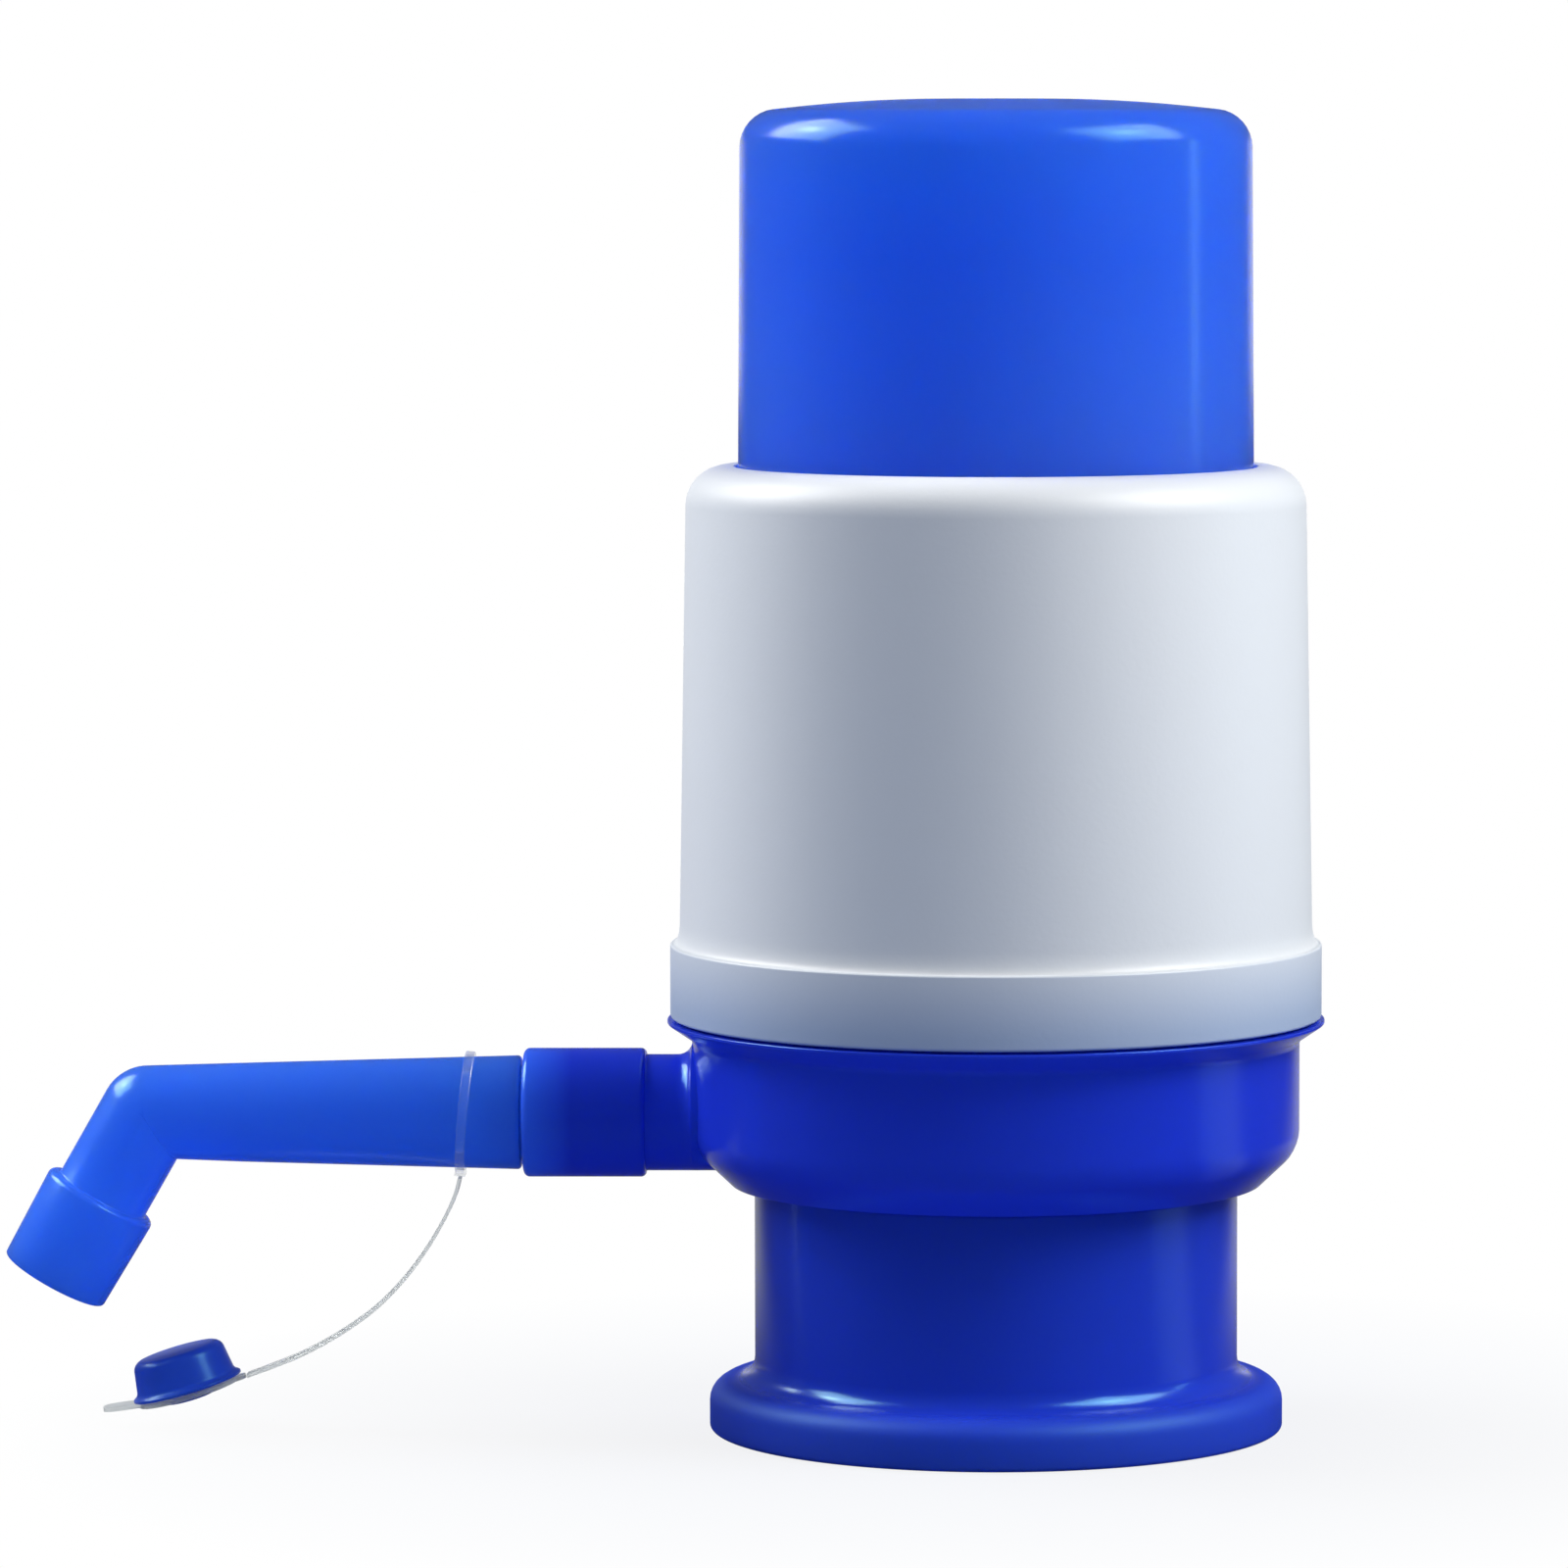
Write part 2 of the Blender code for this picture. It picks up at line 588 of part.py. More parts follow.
def make_base(parent, material):
    """The blue moulding: bowl, neck, rim, spout socket and the water way through them."""
    obj = turned("base_body", base_profile(), BODY_STEPS, material)
    place(obj, parent, (0, 0, 0))
    post_top_z = spout_z + boss_radius * POST_TOP_SHARE
    post = as_tool(turned("water_post", rod(POST_RADIUS, post_foot_z, post_top_z), TUBE_STEPS))
    place(post, parent, (0, 0, 0))
    arm_profile = [(0, socket_end), (SOCKET_RADIUS - SOCKET_EDGE_ROUND, socket_end)]
    arm_profile += arc(
        (SOCKET_RADIUS - SOCKET_EDGE_ROUND, socket_end - SOCKET_EDGE_ROUND), SOCKET_EDGE_ROUND, 60, 0, 2
    )
    arm_profile += [
        (SOCKET_RADIUS, socket_start + SOCKET_EDGE_ROUND),
        (boss_radius, socket_start),
    ]
    arm_profile += arc((boss_radius + boss_fillet, bowl_radius + boss_fillet), boss_fillet, 180, 270, 4)
    arm_profile += [
        (boss_radius + boss_fillet, bowl_radius - boss_fillet / 2),
        (boss_radius, bowl_radius - boss_fillet),
        (boss_radius, WATER_RADIUS),
        (0, WATER_RADIUS),
    ]
    arm = as_tool(turned("spout_arm", arm_profile, TUBE_STEPS))
    # The blend into the bowl is lifted, so that the underside of the arm stays level
    for vertex in arm.data.vertices:
        reach = hypot(vertex.co.x, vertex.co.y)
        lift = (reach - boss_radius) / 2
        if vertex.co.z < socket_start and lift > 0:
            narrowing = (boss_radius + lift) / reach
            vertex.co.x = vertex.co.x * narrowing + lift
            vertex.co.y *= narrowing
    place(arm, parent, (0, 0, spout_z), radians(-90))
    tube_seat_top_z = post_foot_z + TUBE_SOCKET_DEPTH
    rise_profile = rod(WATER_RADIUS, tube_seat_top_z - CUT_OVERRUN, spout_z + WATER_RADIUS)
    rise = as_tool(turned("water_rise", rise_profile, TUBE_STEPS))
    place(rise, parent, (0, 0, 0))
    tube_seat_profile = rod(TUBE_SOCKET_RADIUS, post_foot_z - CUT_OVERRUN, tube_seat_top_z)
    tube_seat = as_tool(turned("tube_seat", tube_seat_profile, TUBE_STEPS))
    place(tube_seat, parent, (0, 0, 0))
    socket_floor = socket_end - SOCKET_DEPTH
    channel_profile = rod(CHANNEL_RADIUS, WATER_RADIUS / 2, socket_floor + CUT_OVERRUN)
    channel = as_tool(turned("channel", channel_profile, TUBE_STEPS))
    place(channel, parent, (0, 0, spout_z), radians(-90))
    socket_profile = rod(socket_bore, socket_floor, socket_end + CUT_OVERRUN)
    socket = as_tool(turned("spout_socket", socket_profile, TUBE_STEPS))
    place(socket, parent, (0, 0, spout_z), radians(-90))
    vents = hole_circle(
        "air_holes",
        AIR_HOLE_CIRCLE,
        AIR_HOLE_RADIUS,
        AIR_HOLES,
        underside_z - CUT_OVERRUN,
        floor_top_z + CUT_OVERRUN,
    )
    place(vents, parent, (0, 0, 0))
    ridge = thread("neck_thread", neck_outer - THREAD_RIDGE_SINK, neck_foot_z + THREAD_FOOT_MARGIN)
    place(ridge, parent, (0, 0, 0))
    # Post, arm and floor meet edge to edge
    for tool in (post, arm, ridge):
        combine(obj, tool, "UNION", "MANIFOLD")
    for tool in (rise, tube_seat, channel, socket, vents):
        combine(obj, tool, "DIFFERENCE", "MANIFOLD")


def make_connector(parent, material):
    """The nipple under the base that the dip tube pushes onto."""
    plug_radius = TUBE_SOCKET_RADIUS - FIT_GAP
    flange_top_z = post_foot_z - FIT_GAP
    flange_z = flange_top_z - CONNECTOR_FLANGE_HEIGHT
    foot_z = flange_z - CONNECTOR_NIPPLE_LENGTH
    top_z = flange_top_z + CONNECTOR_PLUG_LENGTH
    profile = [
        (CONNECTOR_BORE, top_z),
        (plug_radius - CONNECTOR_CHAMFER, top_z),
        (plug_radius, top_z - CONNECTOR_CHAMFER),
        (plug_radius, flange_top_z),
        (CONNECTOR_FLANGE_RADIUS, flange_top_z),
        (CONNECTOR_FLANGE_RADIUS, flange_z),
        (CONNECTOR_NIPPLE_RADIUS, flange_z),
    ]
    barb_radius = CONNECTOR_NIPPLE_RADIUS + CONNECTOR_BARB_HEIGHT
    for i in range(CONNECTOR_BARBS, 0, -1):
        barb_z = foot_z + i * CONNECTOR_BARB_PITCH
        profile += [
            (CONNECTOR_NIPPLE_RADIUS, barb_z),
            (barb_radius, barb_z - CONNECTOR_BARB_HEIGHT),
        ]
    profile += [
        (CONNECTOR_NIPPLE_RADIUS - CONNECTOR_CHAMFER, foot_z),
        (CONNECTOR_BORE, foot_z),
    ]
    obj = turned("tube_connector", profile, SMALL_STEPS, material, closed=True)
    place(obj, parent, (0, 0, 0))


def make_spout(parent, material):
    """The swivelling spout: spigot, tapered tube, elbow and nozzle, with its water way."""
    groove_floor = socket_bore - FIT_GAP - 2 * RING_CORD_RADIUS + SEAL_GAP
    spigot = socket_bore - FIT_GAP
    spigot_foot = FIT_GAP + SPOUT_SPIGOT_LENGTH
    groove_z = -RING_FROM_MOUTH
    groove_half = RING_GROOVE_WIDTH / 2
    profile = [
        (0, SPOUT_LENGTH),
        (SPOUT_ELBOW_RADIUS, SPOUT_LENGTH),
        (SPOUT_ROOT_RADIUS, SPOUT_ROOT_ROUND),
        (SPOUT_ROOT_RADIUS - SPOUT_ROOT_ROUND, 0),
        (spigot, 0),
        (spigot, groove_z + groove_half),
        (groove_floor, groove_z + groove_half),
        (groove_floor, groove_z - groove_half),
        (spigot, groove_z - groove_half),
        (spigot, SPOUT_SPIGOT_CHAMFER - spigot_foot),
        (spigot - SPOUT_SPIGOT_CHAMFER, -spigot_foot),
        (0, -spigot_foot),
    ]
    obj = turned("spout", profile, TUBE_STEPS, material)
    place(obj, parent, (0, 0, 0), radians(-90))
    leg_turn = radians(-90) - elbow_drop
    elbow = (-SPOUT_LENGTH, 0, 0)
    nozzle_foot = leg_end
    leg_profile = [(0, nozzle_foot), (NOZZLE_TIP_RADIUS - NOZZLE_EDGE_ROUND, nozzle_foot)]
    leg_profile += arc(
        (NOZZLE_TIP_RADIUS - NOZZLE_EDGE_ROUND, nozzle_foot - NOZZLE_EDGE_ROUND), NOZZLE_EDGE_ROUND, 60, 0, 2
    )
    leg_profile += arc(
        (NOZZLE_ROOT_RADIUS - NOZZLE_SHOULDER_ROUND, LEG_LENGTH + NOZZLE_SHOULDER_ROUND),
        NOZZLE_SHOULDER_ROUND,
        0,
        -90,
        3,
    )
    leg_profile += [(LEG_RADIUS, LEG_LENGTH)]
    leg_profile += arc((0, 0), LEG_RADIUS, 0, -75, 5)
    leg_profile += [(0, -LEG_RADIUS)]
    leg = as_tool(turned("spout_leg", leg_profile, TUBE_STEPS))
    place(leg, parent, elbow, leg_turn)
    bore_profile = [
        (0, SPOUT_LENGTH),
        (SPOUT_BORE_ELBOW, SPOUT_LENGTH),
        (SPOUT_BORE_ROOT, -spigot_foot - CUT_OVERRUN),
        (0, -spigot_foot - CUT_OVERRUN),
    ]
    bore = as_tool(turned("spout_bore", bore_profile, TUBE_STEPS))
    place(bore, parent, (0, 0, 0), radians(-90))
    mouth_top = nozzle_foot - NOZZLE_MOUTH_DEPTH
    leg_bore_profile = [
        (0, nozzle_foot + CUT_OVERRUN),
        (NOZZLE_MOUTH_RADIUS, nozzle_foot + CUT_OVERRUN),
        (NOZZLE_MOUTH_RADIUS, nozzle_foot),
        (NOZZLE_MOUTH_RADIUS, mouth_top + NOZZLE_MOUTH_TAPER),
        (LEG_BORE, mouth_top),
    ]
    leg_bore_profile += arc((0, 0), LEG_BORE, 0, -75, 5)
    leg_bore_profile += [(0, -LEG_BORE)]
    leg_bore = as_tool(turned("leg_bore", leg_bore_profile, TUBE_STEPS))
    place(leg_bore, parent, elbow, leg_turn)
    # Tube and leg have their elbow end in one plane
    combine(obj, leg, "UNION", "MANIFOLD")
    combine(obj, bore, "DIFFERENCE", "MANIFOLD")
    combine(obj, leg_bore, "DIFFERENCE", "MANIFOLD")


def make_spout_ring(parent, material):
    """The rubber ring in the groove of the spout's spigot."""
    centre = (socket_bore - SEAL_GAP - RING_CORD_RADIUS, -RING_FROM_MOUTH)
    section = arc(centre, RING_CORD_RADIUS, 90, -270, 8)[:-1]
    obj = turned("spout_o_ring", section, TUBE_STEPS, material, closed=True)
    place(obj, parent, (0, 0, 0), radians(-90))


def umbrella(name, seat_z, plate_thickness, parent, material):
    """A rubber umbrella valve under a plate: thin dish, stem through the plate, bulb above it."""
    top = seat_z + plate_thickness
    hub_z = seat_z - FIT_GAP
    profile = [
        (0, top + FIT_GAP + VALVE_BULB_HEIGHT),
        (VALVE_STEM_RADIUS, top + FIT_GAP + VALVE_BULB_HEIGHT),
        (VALVE_BULB_RADIUS, top + FIT_GAP),
        (VALVE_STEM_RADIUS, top + FIT_GAP),
        (VALVE_STEM_RADIUS, hub_z),
        (VALVE_RADIUS, hub_z),
        (VALVE_RADIUS, hub_z - VALVE_EDGE),
        (VALVE_BULB_RADIUS, hub_z - VALVE_HUB_THICKNESS),
        (0, hub_z - VALVE_HUB_THICKNESS),
    ]
    obj = turned(name, profile, SMALL_STEPS, material)
    place(obj, parent, (0, 0, 0))


def pierce_for_valve(obj, low, high, parent):
    """Cuts the stem hole and the ring of vents that an umbrella valve covers."""
    stem_hole = VALVE_STEM_RADIUS + FIT_GAP
    stem = as_tool(turned(obj.name + "_stem_hole", rod(stem_hole, low, high), SMALL_STEPS))
    place(stem, parent, (0, 0, 0))
    vents = hole_circle(obj.name + "_vents", VENT_CIRCLE, VENT_RADIUS, VENTS, low, high)
    place(vents, parent, (0, 0, 0))
    combine(obj, stem, "DIFFERENCE")
    combine(obj, vents, "DIFFERENCE")


def make_deck(parent, plate_material, rubber):
    """The valve plate on its seal, and the delivery valve under it."""
    seal_outer = spigot_inner - FIT_GAP
    seal = turned(
        "deck_seal",
        ring(seal_outer - DECK_SEAL_WIDTH, seal_outer, deck_seal_z, deck_seal_z + DECK_SEAL_HEIGHT),
        BODY_STEPS,
        rubber,
        closed=True,
    )
    place(seal, parent, (0, 0, 0))
    plate = turned(
        "valve_plate", rod(plate_radius, plate_z, plate_z + PLATE_THICKNESS), BODY_STEPS, plate_material
    )
    place(plate, parent, (0, 0, 0))
    pierce_for_valve(plate, plate_z - CUT_OVERRUN, plate_z + PLATE_THICKNESS + CUT_OVERRUN, parent)
    umbrella("delivery_valve", plate_z, PLATE_THICKNESS, parent, rubber)


def make_clamp_ring(parent, material):
    """The ring that the sleeve presses down on the foot of the bellows."""
    obj = turned(
        "bellows_clamp_ring",
        ring(clamp_ring_bore, plate_radius, clamp_ring_z, spigot_top_z),
        BODY_STEPS,
        material,
        closed=True,
    )
    place(obj, parent, (0, 0, 0))


def make_sleeve(parent, material):
    """The white outer sleeve: rounded shoulder, drafted wall, thicker band at the foot."""
    band_top_z = sleeve_foot_z + BAND_HEIGHT
    cove_top_z = band_top_z + BAND_COVE_HEIGHT
    cove_edge = band_radius - BAND_EDGE_ROUND
    catch_z = spigot_top_z + FIT_GAP
    catch_top_z = catch_z + CATCH_THICKNESS
    profile = [(lip_radius + LIP_EDGE_ROUND, sleeve_top_z)]
    profile += arc(
        (sleeve_top_radius - SHOULDER_RADIUS, sleeve_top_z - SHOULDER_RADIUS), SHOULDER_RADIUS, 90, 0, 5
    )
    # A hollow curve runs out from the wall to the edge of the band
    for angle in (0, pi / 6, pi / 3, pi / 2):
        radius = cove_edge - (cove_edge - sleeve_foot_radius) * cos(angle)
        profile.append((radius, cove_top_z - BAND_COVE_HEIGHT * sin(angle)))
    profile += [
        (band_radius, band_top_z - BAND_EDGE_ROUND),
        (band_radius, sleeve_foot_z + BAND_EDGE_ROUND),
        (band_radius - BAND_EDGE_ROUND, sleeve_foot_z),
        (band_inner, sleeve_foot_z),
        (band_inner, catch_z),
        (plate_radius - CATCH_GRIP, catch_z),
        (plate_radius - CATCH_GRIP, catch_top_z),
        (sleeve_bore_foot, catch_top_z + CATCH_RAMP),
        (sleeve_bore_top, lip_under_z),
        (lip_radius, lip_under_z),
        (lip_radius, sleeve_top_z - LIP_EDGE_ROUND),
    ]
    obj = turned("sleeve", profile, BODY_STEPS, material, closed=True)
    place(obj, parent, (0, 0, 0))


def crown_z(radius, edge_radius, top_z):
    """Height of the top at a radius: flat in the middle, then softly domed."""
    beyond_flat = max(radius - CAP_FLAT_RADIUS, 0)
    return top_z - CAP_CROWN * (beyond_flat / (edge_radius - CAP_FLAT_RADIUS)) ** 2


def make_press_cap(parent, material):
    """The blue press cap: domed top, drafted skirt, stop flange under the lip of the sleeve."""
    corner_r = cap_top_radius - CAP_CORNER
    turn = 90 - CAP_CROWN_TILT_DEG
    edge_r = corner_r + CAP_CORNER * cos(radians(turn))
    corner_z = cap_top_z - CAP_CROWN - CAP_CORNER * sin(radians(turn))
    stop_foot_z = cap_stop_z - CAP_STOP_THICKNESS
    skirt_z = stop_foot_z - CAP_SKIRT_BELOW_STOP
    inner_round = CAP_CORNER - CAP_WALL
    roof_z = cap_top_z - CAP_WALL
    rib_inner = CAP_RIB_RADIUS - CAP_RIB_WALL
    rib_foot_z = head_top_z + FIT_GAP
    skirt_inner = cap_foot_radius - CAP_WALL
    crown_shares = [0.3, 0.65]
    profile = [(0, cap_top_z), (CAP_FLAT_RADIUS, cap_top_z)]
    for share in crown_shares:
        radius = between(CAP_FLAT_RADIUS, edge_r, share)
        profile.append((radius, crown_z(radius, edge_r, cap_top_z)))
    profile += arc((corner_r, corner_z), CAP_CORNER, turn, 0, 6)
    profile += [
        (cap_foot_radius, sleeve_top_z),
        (cap_foot_radius, cap_stop_z),
        (cap_stop_radius, cap_stop_z),
        (cap_stop_radius, stop_foot_z + CAP_STOP_EDGE),
        (cap_stop_radius - CAP_STOP_EDGE, stop_foot_z),
        (cap_foot_radius, stop_foot_z),
        (cap_foot_radius, skirt_z),
        (skirt_inner, skirt_z),
        (skirt_inner, sleeve_top_z),
    ]
    profile += arc((corner_r, corner_z), inner_round, 0, turn, 2)
    profile += [
        (CAP_RIB_RADIUS, crown_z(CAP_RIB_RADIUS, edge_r, roof_z)),
        (CAP_RIB_RADIUS, rib_foot_z),
        (rib_inner, rib_foot_z),
        (rib_inner, crown_z(rib_inner, edge_r, roof_z)),
        (0, roof_z),
    ]
    obj = turned("press_cap", profile, BODY_STEPS, material)
    place(obj, parent, (0, 0, 0))


def make_bellows_head(parent, material, rubber):
    """The plate that closes the bellows and pushes onto the rib under the cap, with the inlet valve."""
    collar_bore = CAP_RIB_RADIUS + FIT_GAP
    collar_outside = collar_bore + HEAD_COLLAR_WALL
    spigot = bellows_inner - HEAD_OVERLAP - FIT_GAP
    disc = bellows_inner + BELLOWS_WALL
    profile = [
        (0, head_top_z),
        (collar_bore, head_top_z),
        (collar_bore, head_top_z + HEAD_COLLAR_HEIGHT),
        (collar_outside, head_top_z + HEAD_COLLAR_HEIGHT),
        (collar_outside, head_top_z),
        (disc, head_top_z),
        (disc, head_under_z),
        (spigot, head_under_z),
        (spigot, head_under_z - HEAD_SPIGOT_LENGTH),
        (spigot - HEAD_SPIGOT_WALL, head_under_z - HEAD_SPIGOT_LENGTH),
        (spigot - HEAD_SPIGOT_WALL, head_under_z),
        (0, head_under_z),
    ]
    obj = turned("bellows_head", profile, BODY_STEPS, material)
    place(obj, parent, (0, 0, 0))
    pierce_for_valve(obj, head_under_z - CUT_OVERRUN, head_top_z + CUT_OVERRUN, parent)
    umbrella("inlet_valve", head_under_z, HEAD_THICKNESS, parent, rubber)


def make_bellows(parent, material):
    """The ribbed air bellows: a flat foot, equal folds and an open top rim."""
    foot_top_z = bellows_foot_z + BELLOWS_FOOT_THICKNESS
    folds_foot_z = foot_top_z + BELLOWS_NECK_HEIGHT
    folds_top_z = bellows_top_z - BELLOWS_TOP_THICKNESS
    half_fold = (folds_top_z - folds_foot_z) / (2 * BELLOWS_FOLDS)
    top_bore = bellows_inner - HEAD_OVERLAP
    outside = [(top_bore, bellows_top_z), (bellows_inner, bellows_top_z)]
    inside = []
    for i in range(1, 2 * BELLOWS_FOLDS + 1):
        height = folds_top_z - half_fold * i
        radius = bellows_outer if i % 2 else bellows_inner
        outside.append((radius, height))
        inside.append((radius - BELLOWS_WALL, height))
    foot = [
        (bellows_inner, foot_top_z),
        (plate_radius, foot_top_z),
        (plate_radius, bellows_foot_z),
        (bellows_inner - BELLOWS_WALL, bellows_foot_z),
    ]
    top = [(bellows_inner - BELLOWS_WALL, folds_top_z), (top_bore, folds_top_z)]
    profile = outside + foot + inside[::-1] + top
    obj = turned("bellows", profile, BELLOWS_STEPS, material, closed=True)
    place(obj, parent, (0, 0, 0))


def tube_radius(from_root):
    """Outer radius of the tapered spout at a distance from its root."""
    return between(SPOUT_ROOT_RADIUS, SPOUT_ELBOW_RADIUS, from_root / SPOUT_LENGTH)


def make_tether_ring(parent, material):
    """The clear ring that hangs loosely round the spout, with the root that the strap leaves from."""
    inner = tube_radius(TETHER_FROM_SOCKET - TETHER_RING_WIDTH) + FIT_GAP
    outer = inner + TETHER_RING_THICKNESS
    half = TETHER_RING_WIDTH / 2
    obj = turned("tether_ring", ring(inner, outer, -half, half), TUBE_STEPS, material, closed=True)
    place(obj, parent, (0, 0, 0), radians(-90 + TETHER_TILT_DEG))
    root_top = between(inner, outer, 0.5)
    size = (outer + TETHER_ROOT_DROP - root_top, STRAP_WIDTH, TETHER_ROOT_LENGTH)
    root = as_tool(block("tether_root", size, (-between(root_top, outer + TETHER_ROOT_DROP, 0.5), 0, 0)))
    place(root, parent, (0, 0, 0), radians(-90 + TETHER_TILT_DEG))
    combine(obj, root, "UNION")
    return outer + TETHER_ROOT_DROP


def smooth_route(points, per_stretch):
    """Points read from a smooth curve through the route's own points."""
    ends = [points[0]] + points + [points[-1]]
    route = []
    for before, here, there, after in zip(ends, ends[1:], ends[2:], ends[3:]):
        for i in range(per_stretch):
            t = i / per_stretch
            route.append(
                tuple(
                    here[k]
                    + (there[k] - before[k]) * t / 2
                    + (2 * before[k] - 5 * here[k] + 4 * there[k] - after[k]) * t * t / 2
                    + (3 * here[k] - before[k] - 3 * there[k] + after[k]) * t ** 3 / 2
                    for k in range(2)
                )
            )
    return route + [points[-1]]


def make_strap(parent, material, start, end):
    """The thin flat strap from the ring down to the plug: its side outline, as wide as the strap."""
    route = smooth_route([start] + STRAP_ROUTE + [end], 2)
    upper, lower = [], []
    for i, (x, z) in enumerate(route):
        before = route[max(i - 1, 0)]
        after = route[min(i + 1, len(route) - 1)]
        along = Vector((after[0] - before[0], after[1] - before[1])).normalized()
        side = Vector((-along.y, along.x)) * STRAP_THICKNESS / 2
        upper.append((x + side.x, z + side.y))
        lower.append((x - side.x, z - side.y))
    return flat_piece("tether_strap", upper + lower[::-1], STRAP_WIDTH, parent, material, radians(90))


def flat_piece(name, outline, thickness, parent, material, lean):
    """A flat outline, as thick as told, leaned about X."""
    curve = bpy.data.curves.new(name, "CURVE")
    curve.dimensions = "2D"
    curve.fill_mode = "BOTH"
    curve.extrude = thickness / 2
    spline = curve.splines.new("POLY")
    spline.points.add(len(outline) - 1)
    for point, (across, along) in zip(spline.points, outline):
        point.co = (across, along, 0, 1)
    spline.use_cyclic_u = True
    obj = bpy.data.objects.new(name, curve)
    parts.objects.link(obj)
    obj.parent = parent
    obj.rotation_euler = (lean, 0, 0)
    curve.materials.append(material)
    return obj


def make_tether_end(parent, material):
    """The end ring under the plug, with a neck to the strap and a pull tab on the far side."""
    bore = PLUG_STEM_RADIUS + FIT_GAP
    half = TETHER_END_THICKNESS / 2
    obj = turned("tether_end", ring(bore, TETHER_END_RADIUS, -half, half), TUBE_STEPS, material, closed=True)
    place(obj, parent, (0, 0, 0))
    tab_reach = TETHER_END_RADIUS + TETHER_TAB_LENGTH
    neck_reach = TETHER_END_RADIUS + TETHER_NECK_LENGTH
    tab_start = between(bore, TETHER_END_RADIUS, 0.5)
    tab_length = tab_reach - tab_start
    tab_size = (tab_length, TETHER_TAB_WIDTH, TETHER_END_THICKNESS)
    tab = as_tool(block("pull_tab", tab_size, (-tab_length / 2, 0, 0)))
    place(tab, parent, (-tab_start, 0, 0), radians(TETHER_TAB_LIFT_DEG))
    neck_size = (neck_reach - tab_start, STRAP_WIDTH, TETHER_END_THICKNESS)
    neck = as_tool(block("strap_neck", neck_size, (between(tab_start, neck_reach, 0.5), 0, 0)))
    place(neck, parent, (0, 0, 0))
    for tool in (tab, neck):
        combine(obj, tool, "UNION")
    return neck_reach


def make_dust_plug(parent, material):
    """The tapered blue plug for the nozzle, snapped through the end ring of the tether."""
    seat = TETHER_END_THICKNESS / 2 + FIT_GAP
    top = seat + PLUG_HEIGHT
    lip_top = -seat
    profile = [(0, top)]
    profile += arc((PLUG_TOP_RADIUS - PLUG_TOP_ROUND, top - PLUG_TOP_ROUND), PLUG_TOP_ROUND, 90, 0, 4)
    profile += [
        (PLUG_FOOT_RADIUS, seat + PLUG_SKIRT_HEIGHT),
        (PLUG_BASE_RADIUS, seat + PLUG_SKIRT_HEIGHT / 2),
        (PLUG_BASE_RADIUS, seat),
        (PLUG_STEM_RADIUS, seat),
        (PLUG_STEM_RADIUS, lip_top),
        (PLUG_LIP_RADIUS, lip_top),
        (PLUG_STEM_RADIUS, lip_top - PLUG_LIP_THICKNESS),
        (0, lip_top - PLUG_LIP_THICKNESS),
    ]
    obj = turned("dust_plug", profile, TUBE_STEPS, material)
    place(obj, parent, (0, 0, 0))


def empty(name, parent, location, turn_y=0.0):
    """An empty that carries a group of pieces."""
    holder = bpy.data.objects.new(name, None)
    parts.objects.link(holder)
    place(holder, parent, location, turn_y)
    return holder


def main():
    for old in list(bpy.data.objects):
        bpy.data.objects.remove(old, do_unlink=True)
    bpy.context.scene.collection.children.link(parts)
    bpy.context.scene.collection.children.link(cutters)

    cap_blue = plastic("cap_blue", (0.02, 0.09, 0.68), 0.22)
    base_blue = plastic("base_blue", (0.01, 0.03, 0.42), 0.25)
    spout_blue = plastic("spout_blue", (0.02, 0.10, 0.66), 0.30)
    sleeve_white = plastic("sleeve_white", (0.78, 0.80, 0.84), 0.38)
    inner_white = plastic("inner_white", (0.85, 0.86, 0.86), 0.45)
    bellows_milky = plastic("bellows_milky", (0.82, 0.83, 0.82), 0.50)
    grey_rubber = plastic("grey_rubber", (0.25, 0.26, 0.27), 0.70)
    clear_soft = plastic("clear_soft", (0.78, 0.80, 0.80), 0.35, 0.6)

    pump_axis = empty("pump_axis", None, (pump_x, 0, 0))
    spout_axis = empty("spout_axis", pump_axis, (-spout_root, 0, spout_z))
    tether_axis = empty("tether_axis", pump_axis, (-tether_reach, 0, spout_z))
    plug_axis = empty("plug_axis", pump_axis, (PLUG_CENTRE_X, 0, PLUG_CENTRE_HEIGHT), radians(PLUG_TILT_DEG))

    make_clamp_collar(pump_axis, base_blue)
    make_grip_ring(pump_axis, inner_white)
    make_gasket(pump_axis, grey_rubber)
    make_base(pump_axis, base_blue)
    make_connector(pump_axis, inner_white)
    make_deck(pump_axis, inner_white, grey_rubber)
    make_clamp_ring(pump_axis, inner_white)
    make_sleeve(pump_axis, sleeve_white)
    make_press_cap(pump_axis, cap_blue)
    make_bellows_head(pump_axis, inner_white, grey_rubber)
    make_bellows(pump_axis, bellows_milky)
    make_spout(spout_axis, spout_blue)
    make_spout_ring(spout_axis, grey_rubber)

    root_depth = make_tether_ring(tether_axis, clear_soft)
    neck_reach = make_tether_end(plug_axis, clear_soft)
    make_dust_plug(plug_axis, spout_blue)
    lean = radians(TETHER_TILT_DEG)
    strap_start = (
        -tether_reach - (root_depth + FIT_GAP) * sin(lean),
        spout_z - (root_depth + FIT_GAP) * cos(lean),
    )
    tilt = radians(PLUG_TILT_DEG)
    strap_end = (
        PLUG_CENTRE_X + (neck_reach + FIT_GAP) * cos(tilt),
        PLUG_CENTRE_HEIGHT - (neck_reach + FIT_GAP) * sin(tilt),
    )
    make_strap(pump_axis, clear_soft, strap_start, strap_end)


main()
